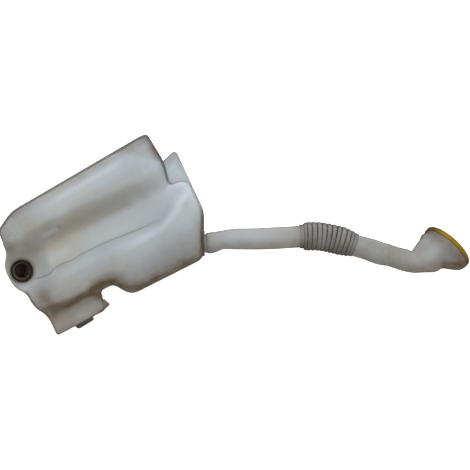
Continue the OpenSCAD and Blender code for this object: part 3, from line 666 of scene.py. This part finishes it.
def shade_sides(tree, colour, edge, start, most, pale=0.0):
    """Painted shade: darkens the upright faces towards a dark colour by the side value, but not where they are
    pale or on the tank's lower half.
    """
    turn = stretch(tree, attribute(tree, "side"), start, 0.84, 0.0, most, interpolation_type="SMOOTHSTEP")
    dark = math_node(tree, "SUBTRACT", turn, pale)
    dark = math_node(tree, "SUBTRACT", dark, attribute(tree, "lower"), True)
    return mix_colour(tree, dark, colour, edge)


def milky_plastic(name, look, turn, amount, tank=False):
    """Aged milky polyethylene: cool and warm patches, painted highlights by the pale value, brown staining and
    painted shade by the value of dirt and shade, specks, scratches and painted shade on upright faces. On the tank
    also a painted dark line of shade in the crease, and a faint painted glow inside."""
    made, tree, shader, place, soil_and_shade = start_material(name, 0.45, 0.12)
    patch = use_group(tree, cloudy_group(), Vector=place, Scale=16.0, From=0.3, To=0.7)
    warm = math_node(tree, "ADD", patch, attribute(tree, "warm"), True)
    colour = mix_colour(tree, warm, rgba(look.clean), rgba(look.aged))
    # Painted highlights: the pale value mixes towards the highlight colour.
    pale = attribute(tree, "pale")
    colour = mix_colour(tree, pale, colour, rgba(look.painted_highlight))
    # Stains and painted shade by the value of dirt and shade.
    grime = use_group(tree, grime_and_shade_group(), Vector=place, Soil=soil_and_shade, Amount=amount, Specks=0.18)
    colour = mix_colour(tree, grime, colour, rgba(look.stain_and_shade))
    colour = shade_sides(tree, colour, rgba(look.edge), 0.46, 0.72, pale)
    if tank:
        # Painted shade: a thin dark line in the crease.
        line = use_group(tree, crease_group(), Vector=place)
        thin = times(tree, line, 0.42)
        colour = mix_colour(tree, thin, colour, rgba(look.stain_and_shade))
        # Painted glow: faint light in patches on the inner walls, seen through the holes.
        glow_patches = use_group(tree, cloudy_group(), Vector=place, Scale=110.0, From=0.35, To=0.7)
        inside = times(tree, attribute(tree, "inside"), glow_patches)
        lit = mix_colour(tree, inside, UNLIT, INSIDE_GLOW)
        tree.links.new(lit, shader.inputs["Emission Color"])
        shader.inputs["Emission Strength"].default_value = 1.0
    finish_plastic(tree, shader, place, colour, 0.4, turn, 0.25)
    return made


def bellows_plastic(name, look):
    """Soiled corrugated plastic: dirt and painted shade in the grooves and towards -Y, paler crests, and painted
    shade on upright faces.
    """
    made, tree, shader, place, soil_and_shade = start_material(name, 0.6, 0.05)
    both = math_node(tree, "MAXIMUM", attribute(tree, "groove"), soil_and_shade)
    colour = soiled_and_shaded(tree, look, place, both, 60.0, 0.65, 0.9, 0.25)
    colour = shade_sides(tree, colour, rgba(look.stain_and_shade), 0.3, 0.75)
    finish_plastic(tree, shader, place, colour, 0.5, 1.2, 0.3)
    return made


def rubber(name, look):
    """Dull rubber: brown dust over black, with painted light and shade round the grommet, rough grain."""
    made, tree, shader, place, soil_and_shade = start_material(name, 0.7, 0.0)
    colour = soiled_and_shaded(tree, look, place, soil_and_shade, 130.0, 0.7, 1.0, 0.3)
    tree.links.new(colour, shader.inputs["Base Color"])
    grained(tree, shader, place, 0.3, 0.001, Fine=1500.0, Waves=200.0)
    return made


# Settings

def colour_value(name, description, default):
    """Colour setting."""
    return FloatVectorProperty(name=name, description=description, default=default, subtype="COLOR", min=0, max=1)


class TankLook(bpy.types.PropertyGroup):
    """Finish and fineness of the tank."""

    clean: colour_value("Clean", "Milky plastic where it is cleanest", (0.353, 0.39, 0.414))
    aged: colour_value("Aged", "Milky plastic where it has yellowed", (0.345, 0.33, 0.287))
    # Painted highlight colour where the pale value is high.
    painted_highlight: colour_value("Rubbed", "Pale edges", (0.50, 0.565, 0.62))
    # Colour of stains and of painted shade.
    stain_and_shade: colour_value("Stain", "Brown staining in creases", (0.10, 0.070, 0.040))
    # Painted shade colour for the upright faces.
    edge: colour_value("Edge", "Dark sides", (0.045, 0.036, 0.027))
    fineness: IntProperty(name="Fineness", description="Columns round each end of the skin", default=80, min=16)


class NeckLook(bpy.types.PropertyGroup):
    """Finish and fineness of the smooth neck tubes."""

    clean: colour_value("Clean", "Milky plastic where it is cleanest", (0.33, 0.365, 0.375))
    aged: colour_value("Aged", "Milky plastic where it has yellowed", (0.31, 0.305, 0.28))
    # Painted highlight colour where the pale value is high.
    painted_highlight: colour_value("Rubbed", "Pale patches", (0.42, 0.45, 0.49))
    # Colour of stains and of painted shade.
    stain_and_shade: colour_value("Stain", "Brown staining", (0.10, 0.058, 0.030))
    # Painted shade colour for the upright faces.
    edge: colour_value("Edge", "Dark sides", (0.035, 0.027, 0.02))
    sides: IntProperty(name="Sides", description="Points round each tube", default=72, min=24)


class BellowsLook(bpy.types.PropertyGroup):
    """Finish of the corrugated sleeve."""

    clean: colour_value("Clean", "Rubbed crests", (0.25, 0.248, 0.235))
    aged: colour_value("Aged", "Dusty crests", (0.205, 0.197, 0.182))
    # Colour of dirt and of painted shade in the grooves and on the side towards -Y.
    stain_and_shade: colour_value("Stain", "Dirt in the grooves", (0.035, 0.029, 0.023))


class RubberLook(bpy.types.PropertyGroup):
    """Finish of the grommet and the neck seal."""

    clean: colour_value("Clean", "Black rubber", (0.008, 0.006, 0.005))
    aged: colour_value("Aged", "Rubber under dust", (0.018, 0.014, 0.012))
    # Colour of dust and of painted light and shade on the grommet.
    stain_and_shade: colour_value("Stain", "Brown dust", (0.08, 0.066, 0.053))


class CapLook(bpy.types.PropertyGroup):
    """Finish of the filler cap."""

    clean: colour_value("Clean", "Yellow plastic", (0.38, 0.27, 0.004))
    aged: colour_value("Aged", "Yellow plastic, browned", (0.26, 0.165, 0.004))
    # Colour of dirt on the rim and of painted shade at the cap's -Y end.
    stain_and_shade: colour_value("Stain", "Brown dirt on the edges", (0.06, 0.035, 0.01))


class StageLook(bpy.types.PropertyGroup):
    """Floor, lights and camera."""

    floor: colour_value("Floor", "Pale floor", (0.9, 0.9, 0.89))
    glow: FloatProperty(name="Glow", description="Light from the floor, which softens the shadow", default=0.75)
    key_power: FloatProperty(name="Key", description="Power of the large light", default=60.0, unit="POWER")
    camera_height: FloatProperty(
        name="Camera height", description="Camera above the floor", default=8.0, unit="LENGTH",
    )
    field: FloatProperty(name="Field", description="Width seen at mid height", default=0.611, unit="LENGTH")


# Pieces

class RESERVOIR_OT_tank(bpy.types.Operator):
    """Blow-moulded tank with its foot, wing, tongue, pump seat and port collar"""

    bl_idname = "reservoir.tank"
    bl_label = "Tank"

    def execute(self, context):
        look = context.scene.reservoir_tank
        outer = tank_skin(look.fineness, look.fineness * 2, 0.0, 12, 8, 60)
        inner = tank_skin(look.fineness // 5, look.fineness // 2, WALL, 4, 4, 12)
        pump = turned(PAD_U, PAD_V, PAD_Z)
        parts, marks = [], {key: [] for key in ("soil_and_shade", "pale", "warm", "inside", "lower")}

        def keep(part, *values):
            """Adds a grid with a value for each mark."""
            parts.append(part)
            for key, value in zip(marks, values):
                marks[key].append(np.broadcast_to(np.ravel(value), len(part[0])))

        for rings, inward in ((outer, False), (inner, True)):
            u, v, z = rings[..., 0], rings[..., 1], rings[..., 2]
            points, faces = quads(turned(u, v, z), inward=inward)
            x, y, up = points[faces].mean(1).T
            seat = (np.hypot(x - pump[0], y - pump[1]) < SEAT_HOLE) & (up > SEAT_LOW)
            port = (np.hypot(y - PORT[1], up - PORT[2]) < PORT_HOLE) & (x > PORT[0] - PORT_DEEP)
            # Outer skin: dirt and painted shade, painted highlights, warm tone and less painted side shade low
            # down; inner skin: darkened, and marked for the painted glow.
            keep(
                (points, faces[~(seat | port)]), INSIDE_DARKENING if inward else tank_soil_and_shade(u, v, z),
                0.0 if inward else tank_highlight(u, v, z), tank_warm(u, v), float(inward), 0.7 * (1 - ramp(z, 40, 78)),
            )
        for part, soil_and_shade, pale in self.fittings():
            keep(part, soil_and_shade, pale, 0.0, 0.0, 0.0)
        make_piece(
            "tank_shell", parts, marks, milky_plastic("milky tank plastic", look, -YAW, 1.0, True),
            "tank", "reservoir", "tank",
        )
        return {"FINISHED"}

    def fittings(self):
        """Pump seat, port collar, tongue, wing and lug, each with its value of dirt and painted shade and its pale
        value of painted highlight.
        """
        # Painted shadow round the grommet, on its seat.
        seat = rounded_profile([[10.95, 77.3], [16.6, 76.2], [16.2, 80.25], [10.95, 80.25]], 1.2, 5)
        yield pump_ring(seat, 96), 0.8, 0.0
        # Painted shade on the collar, where the neck meets the tank.
        collar = rounded_profile([[14.2, -12], [16.6, -12], [16.6, 0.5], [14.2, 0.5]], 0.8, 4)
        yield port_ring(collar, 96), 0.95, 0.0
        # Painted dark outline on the plates' rounded edges; the tongue also gets a painted highlight and is darker
        # towards its tip.
        rim = np.repeat([0, 0, 0, 0, 0, 0.5, 1, 1, 1, 0.6, 0.2, 0, 0, 0, 0], PLATE_SIDES)
        tongue = plate(HALF_L, SHOULDER_V, [
            [19, TONGUE_TIP - 5, 5], [-6, TONGUE_TIP - 10, 4], [-7, 40, 4], [16, 32, 4],
        ], 58, 64, 2.2)
        lift = (tongue[..., 1] * math.cos(YAW) - tongue[..., 0] * math.sin(YAW)).ravel() - SHOULDER_V
        yield quads(tongue), 0.7 * rim + 0.4 * ramp(lift, TONGUE_TIP - 16, TONGUE_TIP - 4), 0.8
        # The wing is darkened, most on its rounded edge.
        wing = plate(FOOT_RIGHT, FOOT_BOTTOM, [
            [-9, 3, 1.5], [-2, 2.6, 1.5], [6, 4.4, 1.4], [6.7, 5.1, 1.4], [3.8, 12.4, 1.5], [-7.5, 13, 1.5],
        ], 59.5, 73.5, 1.4)
        yield quads(wing), 0.88 + 0.12 * rim, 0.0
        # Painted shade over the lug.
        lug = plate(FOOT_LEFT, FOOT_BOTTOM, [
            [26, 4.5, 1.5], [28.4, -1.9, 1.5], [31.2, -2.7, 1.5], [49.8, -2.1, 1.5], [52, 4.5, 1.5],
        ], 40, 45, 1.4)
        yield quads(lug), 1.0, 0.0


def line_distance(u, v, line):
    """Distance from each point of the face to a chain of straight runs."""
    best = np.full(np.shape(u), 1e9)
    for (a, b), (c, d) in zip(line[:-1], line[1:]):
        t = np.clip(((u - a) * (c - a) + (v - b) * (d - b)) / ((c - a) ** 2 + (d - b) ** 2), 0, 1)
        best = np.minimum(best, np.hypot(u - a - t * (c - a), v - b - t * (d - b)))
    return best


def tank_soil_and_shade(u, v, z):
    """Dirt and painted shade over the tank: painted shade on the flank's band, round the grommet, in the creases,
    the notch and the crotch, along the edges and the end wall, and towards the bottom and the foot; darker on the
    ridge's left part except over the pump pit, in a band above the flank, over the corner facet and along the top
    edge; single spots of dirt and shade; all less low down on the sides.
    """
    flank = 43 - 11 * ramp(u, -60, 95)
    soil_and_shade = 0.05 * hump(v, flank - 9, 20) * (1 - 0.95 * ramp(u, 10, 70)) * ramp(u, -105, -80)
    pit = 1 - spots(u, v, [(0.85, -99, 42, 13, 1)])
    soil_and_shade += 0.34 * (1 - ramp(u, -112, -25)) * ramp(v, 26, 48) * pit
    soil_and_shade += spots(u, v, SOIL_AND_SHADE_SPOTS) + 0.1 * hump(line_distance(u, v, CREASE), 0, 3)
    soil_and_shade += 0.12 * hump(v, 54, 10) * ramp(u, -40, 0) * (1 - ramp(u, 70, 95))
    crease = line_distance(u, v, FOOT_CREASE)
    soil_and_shade += (0.8 * hump(crease, 0, 5) + 0.26 * hump(crease, 0, 18)) * (0.3 + 0.6 * ramp(u, -108, -76))
    soil_and_shade += 0.62 * np.clip((-30 - v) / 56, 0, 1) * ramp(u, -16, 20)
    soil_and_shade += 0.12 * (1 - ramp(v, -14, -4)) * (1 - ramp(u, -16, 20))
    left = (1 - ramp(u, -108, -72)) * (0.4 + 0.6 * ramp(u, -120, -100)) * (0.3 + 0.7 * ramp(v, -66, -52))
    soil_and_shade += 0.55 * (1 - ramp(v, -28, -4)) * left
    foot = (1 - ramp(v, -68, -58)) * (1 - ramp(u, -44, -36))
    soil_and_shade += (0.14 + 0.14 * (1 - ramp(v, -80, -70))) * foot
    low = line_distance(u, v, BOTTOM_EDGE)
    soil_and_shade += 0.32 * hump(low, 0, 11) + 0.5 * (1 - ramp(low, 2, 7))
    soil_and_shade += 0.5 * (1 - ramp(line_distance(u, v, FOOT_EDGE), 0.8, 3.6))
    soil_and_shade += 0.75 * hump(line_distance(u, v, END_WALL), 0, 7) * hump(v, 60, 26)
    soil_and_shade += 0.3 * ramp(past_facet(u, v), -4, 8) + 0.34 * ramp(v, 75, 86)
    soil_and_shade += (1 - ramp(line_distance(u, v, CROTCH), 4, 9)) * (1 - ramp(z, 68, 88))
    soil_and_shade += 0.4 * hump(np.hypot(u - PAD_U, v - PAD_V), 15, 4)
    return np.clip(soil_and_shade, 0, 1) * (0.35 + 0.65 * ramp(z, 38, 78))


def tank_highlight(u, v, z):
    """Painted highlights on the face: the crest, the lower bulge's upper edge, the low mark, two bands across the
    middle, single spots and the right end, and also the crotch's wall, the shoulder and a spot on the foot.
    """
    front = ramp(z - face_z(u, v), -9, -3)
    ridge = 0.45 * hump(line_distance(u, v, CREST), 0, 4) + 0.25 * hump(v, 64, 11)
    pale = ridge * ramp(u, -80, 0) * (1 - 0.85 * ramp(u, 52, 80)) + 0.12 * ramp(u, 70, 108)
    pale += 0.5 * hump(line_distance(u, v, BULGE_EDGE), 0, 5) * ramp(u, -6, 50)
    pale += 0.3 * (1 - ramp(np.abs(u - MARK_U), 8, 14)) * (1 - ramp(np.abs(v - MARK_V), 1, 4))
    pale += 0.2 * (1 - ramp(np.abs(u + 60), 10, 22)) * hump(v, 10, 6)
    pale += 0.36 * (1 - ramp(np.abs(u + 44), 14, 40)) * hump(v, -16, 6) + spots(u, v, HIGHLIGHT_SPOTS)
    crotch = 0.45 * (1 - ramp(line_distance(u, v, CROTCH), 3, 8)) * ramp(z, 70, 88)
    shoulder = 0.35 * ramp(u, 108, 124) * (1 - ramp(v, 8, 20)) * ramp(z, 66, 90)
    foot = spots(u, v, [(0.25, -41, -74, 7, 1)])
    return np.clip(np.maximum.reduce([pale * front, crotch, shoulder, foot]), 0, 1)


def tank_warm(u, v):
    """Warmer tone of the face: most along the valley and at the left, least at the right end."""
    valley = 0.75 * hump(v, 30, 17) * (0.5 + 0.5 * ramp(u, -75, -10)) * (1 - ramp(u, 40, 84))
    return -0.1 - 0.33 * ramp(u, -60, 95) + valley + 0.3 * (1 - ramp(v, -60, -20)) * (1 - ramp(u, -20, 20))


class RESERVOIR_OT_rubber(bpy.types.Operator):
    """Pump grommet with rounded flanges, and the neck's seal ring"""

    bl_idname = "reservoir.rubber"
    bl_label = "Grommet and seal"

    def execute(self, context):
        look = context.scene.reservoir_rubber
        finish = rubber("dull rubber", look)
        profile = rounded_profile(
            [[8.5, -5.4], [12.9, -5.4], [12.9, -2.4], [10.9, -2.4], [10.9, 0.25], [14.4, 0.25], [14.3, 3],
             [12.6, 3], [11.9, 2.3], [10.4, 2.3], [9.7, 3], [9.1, 2.8], [8.5, 2]],
            [0.5, 0.6, 0.4, 0.3, 0.3, 0.5, 1.1, 0.4, 0.3, 0.3, 0.4, 0.3, 0.5], 5,
        )
        sides = 120
        part = pump_ring(profile, sides, PAD_Z)
        # Brown dust in the groove round the hole, varied round the ring: least on the side towards +X and +Y, most
        # on the other, as painted light and shade.
        dust = 0.55 - 0.35 * np.cos(np.tile(angles(sides), len(profile)) - 0.3)
        soil_and_shade = hump(np.repeat(profile[:, 0], sides), 10.6, 1.2) * dust
        make_piece("grommet_ring", [part], {"soil_and_shade": [soil_and_shade]}, finish, "grommet_rubber", "reservoir", "pump_grommet")
        profile = rounded_profile(
            [[12.1, -14.5], [15.8, -14.5], [15.8, -12.5], [14.1, -12.5], [14.1, 0], [12.1, 0]], 0.5, 4,
        )
        part = port_ring(profile, 96, 0.5)
        make_piece(
            "neck_seal_ring", [part], {"soil_and_shade": [np.full(len(part[0]), 0.3)]}, finish, "seal_rubber", "reservoir",
            "neck_seal",
        )
        return {"FINISHED"}


class RESERVOIR_OT_lower_neck(bpy.types.Operator):
    """Smooth filler tube from the port to the bellows"""

    bl_idname = "reservoir.lower_neck"
    bl_label = "Lower neck"

    def execute(self, context):
        look = context.scene.reservoir_neck
        rows = curve_rows(LOWER_ROWS, np.linspace(0, len(LOWER_ROWS) - 1, 120))
        at, phi = rows[:, :1], angles(look.sides)
        lump = 0.15 * np.sin(at * 0.09 + 2 * phi) * ramp(at, 20, 50) * (1 - ramp(at, 100, 118))
        outer = rows[:, 3:4] + lump
        grid = np.concatenate([hoops(rows, outer, look.sides), hoops(rows, outer - NECK_WALL, look.sides)[::-1]])
        # Painted shade on the side towards -Y and where the tube meets the tank, darker towards the sleeve; a
        # painted highlight along the top.
        under = np.clip(-np.cos(phi), 0, 1)
        soil_and_shade = 0.12 + 0.35 * under + 0.3 * hump(at, 4, 8) + 0.2 * ramp(at, 105, 124)
        shine = np.clip(np.sin(phi + 0.25), 0, 1) ** 4
        pale = 0.4 * shine * ramp(at, 14, 40) * (1 - ramp(at, 80, 112))
        make_piece(
            "lower_neck_tube", [quads(grid, True)],
            {"soil_and_shade": [soil_and_shade, np.full_like(soil_and_shade, INSIDE_DARKENING)], "pale": [pale, 0 * pale]},
            milky_plastic("milky neck plastic", look, 0.0, 0.9), "neck", "reservoir", "lower_neck",
        )
        return {"FINISHED"}


class RESERVOIR_OT_bellows(bpy.types.Operator):
    """Corrugated sleeve, curved between the two tubes"""

    bl_idname = "reservoir.bellows"
    bl_label = "Bellows sleeve"

    def execute(self, context):
        look = context.scene.reservoir_bellows
        sides = context.scene.reservoir_neck.sides
        ribbed = np.linspace(CUFF, 1 - CUFF, RIBS * 16 + 1)
        t = np.concatenate([[0, CUFF / 3, CUFF * 0.8], ribbed, [1 - CUFF * 0.8, 1 - CUFF / 3, 1]])
        rows = curve_rows(SLEEVE_ROWS, np.interp(t, SLEEVE_ROWS[:, 3], np.arange(len(SLEEVE_ROWS))))
        swell = ramp(t, CUFF, CUFF + 0.07) * (1 - ramp(t, 0.72, 1 - CUFF))
        first = SLEEVE_END + 1.3
        crest = first + (RIB_R - first) * swell
        wave = ((1 + np.cos(2 * np.pi * RIBS * (t - CUFF) / (1 - 2 * CUFF))) / 2) ** 2.4
        inside = (t > CUFF) & (t < 1 - CUFF)
        radius = np.where(inside, np.maximum(SLEEVE_END, crest - GROOVE * wave), SLEEVE_END)
        grid = np.concatenate([hoops(rows, radius, sides), hoops(rows, radius - SLEEVE_WALL, sides)[::-1]])
        # Dirt and painted shade in the grooves, and painted shade that grows from the side towards +Y to the side
        # towards -Y.
        groove = np.where(inside, wave, 0.2)[:, None] * np.ones(sides)
        low = -np.cos(angles(sides)) * np.ones((len(t), 1))
        soil_and_shade = 0.28 + np.where(low > 0, 0.5, 0.28) * low
        piece = make_piece(
            "bellows_sleeve_skin", [quads(grid, True)],
            {"soil_and_shade": [soil_and_shade, np.full_like(soil_and_shade, INSIDE_DARKENING)], "groove": [groove, groove[::-1]]},
            bellows_plastic("soiled bellows plastic", look), "bellows", None, "bellows_sleeve",
        )
        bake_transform(piece)
        return {"FINISHED"}


class RESERVOIR_OT_upper_neck(bpy.types.Operator):
    """Upper tube, elbow and bell mouth, one moulding"""

    bl_idname = "reservoir.upper_neck"
    bl_label = "Upper neck"

    def execute(self, context):
        look = context.scene.reservoir_neck
        rows = curve_rows(UPPER_ROWS, np.linspace(0, len(UPPER_ROWS) - 1, 170))
        inner = rows.copy()
        at = rows[:, 0]
        rows[:, 3] += 1.7 * ramp(at, 299, 311.9)
        rows[:, 3] += 0.6 * ramp(at, 205, 232) * (1 - ramp(at, 238.5, 241))
        heights = np.array([2, 3, 4, 4.4, 4.6, 4.7, 6.0, 6.3, 6.6, 7.5, 8.4, 8.7, 8.8])
        lips = np.array([1.75, 1.9, 1.9, 1.85, 1.5, 0.4, 0.05, 0.4, 0.85, 1, 0.85, 0.4, 0.0])
        rim = mouth_rows(heights)
        rim[:, 3] = MOUTH_R + lips
        outer = np.concatenate([rows, rim])
        throat = mouth_rows(np.array([1, 4, 8.4, 8.8]))
        throat[:, 3] = MOUTH_R - MOUTH_WALL + np.array([0, 0, 0, 0.4])
        inner[:, 3] -= NECK_WALL + (MOUTH_WALL - NECK_WALL) * ramp(at, 298, 311)
        inner = np.concatenate([inner, throat])
        phi = angles(look.sides)
        above, under = np.clip(np.cos(phi), 0, 1), np.clip(-np.cos(phi), 0, 1)

        def dented(route):
            """Circles along a route, drawn in 2.6 mm above the elbow, 3 mm above the bell and 2 mm at its step."""
            x = route[:, :1]
            crotch = 2.6 * hump(x, 269, 5) * above ** 2 + 3 * hump(x, 302, 9) * above
            return hoops(route, route[:, 3:4] - crotch - 2 * hump(x, 294.5, 3) * under ** 2, look.sides)

        grid = np.concatenate([dented(outer), dented(inner)[::-1]])
        x, y = grid[..., 0] - PORT[0], grid[..., 1] - PORT[1]
        # Painted shade on the side towards -Y and at the bell's -Y end near the rim, darker near the mouth and
        # more so towards +Y, and painted highlights on the bell that also lighten it.
        mouth = ramp(x, 296, 324)
        soil_and_shade = 0.36 + 0.3 * under * (1 - mouth) + 0.14 * mouth + 0.8 * (1 - ramp(y, -32, -19)) * ramp(x, 304, 316)
        near = np.concatenate([ramp(at, 299, 311), np.ones(len(rim))])[:, None]
        soil_and_shade[:len(outer)] += near * (0.22 + 0.3 * above)
        soil_and_shade[len(outer):] = INSIDE_DARKENING
        pale = spots(x, y, [(0.45, 296.5, -13, 12, 1), (0.2, 282, -20, 14, 1)])
        soil_and_shade = np.clip(soil_and_shade - 0.3 * pale, 0, 1)
        make_piece(
            "upper_neck_tube", [quads(grid, True)], {"soil_and_shade": [soil_and_shade], "pale": [pale]},
            milky_plastic("milky bell plastic", look, 0.3, 0.9), "neck", "swinging_neck", "upper_neck",
        )
        return {"FINISHED"}


class RESERVOIR_OT_cap(bpy.types.Operator):
    """Push-on cap with its skirt, plug ring and domed top"""

    bl_idname = "reservoir.cap"
    bl_label = "Filler cap"

    def execute(self, context):
        look = context.scene.reservoir_cap
        finish, tree, shader, place, soil_and_shade = start_material("yellow cap plastic", 0.45, 0.05)
        colour = soiled_and_shaded(tree, look, place, soil_and_shade, 45.0, 0.65, 1.0, 0.2)
        finish_plastic(tree, shader, place, colour, 0.4, 0.8, 0.2)
        sides, under = 144, MOUTH_LENGTH + 0.35
        dome_r = (CAP_R ** 2 + CAP_DOME ** 2) / (2 * CAP_DOME)
        r = np.array([34.0, 31.5, 28, 25, 24, 23, 18, 12, 6, 2.5, 1.8, 0])
        drop = np.array([0, 0, 0, 0, 0.1, 0.5, 0.5, 0.5, 0.5, 0.5, 0.2, 0.2])
        dome = np.column_stack([r, under + CAP_TOP + CAP_DOME - dome_r + np.sqrt(dome_r ** 2 - r ** 2) - drop])
        body = rounded_profile(
            [[28.45, under], [28.45, under - CAP_PLUG], [30.05, under - CAP_PLUG], [30.05, under], [33.95, under],
             [33.95, under - CAP_SKIRT], [CAP_R, under - CAP_SKIRT], [CAP_R, under + CAP_TOP]],
            [0.3, 0.5, 0.5, 0.3, 0.3, 0.4, 0.4, 0.9], 5,
        )
        profile = np.concatenate([[[0, under]], body, dome])
        grid = hoops(mouth_rows(profile[:, 1]), profile[:, :1], sides)
        # Brown dirt on the rim; painted shade at the cap's -Y end, and darker at its +Y end.
        rim = np.repeat(hump(profile[:, 0], CAP_R, 0.7), sides)
        edge = grid[..., 1].ravel()
        low = 1 - ramp(edge, edge.min() + 3, edge.min() + 24)
        high = ramp(edge, edge.max() - 9, edge.max() - 2)
        soil_and_shade = np.clip(0.1 + 0.2 * rim + 0.8 * low + 0.65 * high, 0, 1)
        make_piece("cap_cover", [quads(grid)], {"soil_and_shade": [soil_and_shade]}, finish, "cap", "cap", "filler_cap")
        return {"FINISHED"}


class RESERVOIR_OT_stage(bpy.types.Operator):
    """Pale floor, soft lights and the camera above the front face"""

    bl_idname = "reservoir.stage"
    bl_label = "Stage"

    def execute(self, context):
        look = context.scene.reservoir_stage
        scene = context.scene
        scene.view_settings.view_transform = "Standard"
        mesh = bpy.data.meshes.new("floor")
        corners = ((-1, -1), (1, -1), (1, 1), (-1, 1))
        mesh.from_pydata([(FLOOR_HALF * x, FLOOR_HALF * y, 0) for x, y in corners], [], [(0, 1, 2, 3)])
        floor = bpy.data.objects.new("floor", mesh)
        scene.collection.objects.link(floor)
        paint = bpy.data.materials.new("pale floor")
        paint.use_nodes = True
        shader = paint.node_tree.nodes["Principled BSDF"]
        shader.inputs["Base Color"].default_value = rgba(look.floor)
        shader.inputs["Roughness"].default_value = 0.9
        shader.inputs["Emission Color"].default_value = rgba(look.floor)
        shader.inputs["Emission Strength"].default_value = look.glow
        mesh.materials.append(paint)
        world = bpy.data.worlds.new("soft room")
        world.use_nodes = True
        room = world.node_tree.nodes["Background"].inputs
        room["Color"].default_value = (0.98, 0.99, 1.0, 1.0)
        room["Strength"].default_value = 0.45
        scene.world = world
        self.light("key", (0.1, 1.5, 2.2), 1.8, look.key_power, (1.0, 1.0, 1.0))
        self.light("fill", (0.3, -1.6, 1.0), 1.4, look.key_power * 0.12, (1.0, 0.86, 0.72))
        eye = bpy.data.cameras.new("camera")
        camera = bpy.data.objects.new("camera", eye)
        scene.collection.objects.link(camera)
        camera.location = (MIDDLE_X, MIDDLE_Y, look.camera_height)
        eye.sensor_width = SENSOR
        eye.lens = SENSOR * (look.camera_height - MIDDLE_Z) / look.field
        scene.camera = camera
        return {"FINISHED"}

    def light(self, name, place, size, power, colour):
        """Square area light that looks at the middle of the part."""
        lamp = bpy.data.lights.new(name, "AREA")
        lamp.size, lamp.energy, lamp.color = size, power, colour
        made = bpy.data.objects.new(name, lamp)
        bpy.context.scene.collection.objects.link(made)
        made.location = place
        aim = made.location * -1
        aim.x += LIT_X
        aim.z += LIT_Z
        made.rotation_euler = aim.to_track_quat("-Z", "Y").to_euler()


class RESERVOIR_PT_panel(bpy.types.Panel):
    """Pieces of the reservoir"""

    bl_idname = "RESERVOIR_PT_panel"
    bl_label = "Reservoir"
    bl_space_type = "VIEW_3D"
    bl_region_type = "UI"
    bl_category = "Reservoir"

    def draw(self, context):
        for made in PIECES:
            self.layout.operator(made.bl_idname)
        for key in LOOKS:
            look = getattr(context.scene, key)
            box = self.layout.box()
            box.label(text=look.__doc__)
            for prop in look.bl_rna.properties:
                if not prop.is_readonly and prop.identifier != "name":
                    box.prop(look, prop.identifier)


PIECES = (
    RESERVOIR_OT_tank, RESERVOIR_OT_rubber, RESERVOIR_OT_lower_neck, RESERVOIR_OT_bellows,
    RESERVOIR_OT_upper_neck, RESERVOIR_OT_cap, RESERVOIR_OT_stage,
)
LOOKS = {
    "reservoir_tank": TankLook, "reservoir_neck": NeckLook, "reservoir_bellows": BellowsLook,
    "reservoir_rubber": RubberLook, "reservoir_cap": CapLook, "reservoir_stage": StageLook,
}


def register():
    for made in (*LOOKS.values(), *PIECES, RESERVOIR_PT_panel):
        bpy.utils.register_class(made)
    for key, kind in LOOKS.items():
        setattr(bpy.types.Scene, key, PointerProperty(type=kind))


def unregister():
    for key in LOOKS:
        delattr(bpy.types.Scene, key)
    for made in (RESERVOIR_PT_panel, *reversed(PIECES), *reversed(LOOKS.values())):
        bpy.utils.unregister_class(made)


def main():
    """Makes every piece and the stage."""
    register()
    bpy.ops.reservoir.tank()
    bpy.ops.reservoir.rubber()
    bpy.ops.reservoir.lower_neck()
    bpy.ops.reservoir.bellows()
    bpy.ops.reservoir.upper_neck()
    bpy.ops.reservoir.cap()
    bpy.ops.reservoir.stage()
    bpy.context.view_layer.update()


if __name__ == "__main__":
    main()
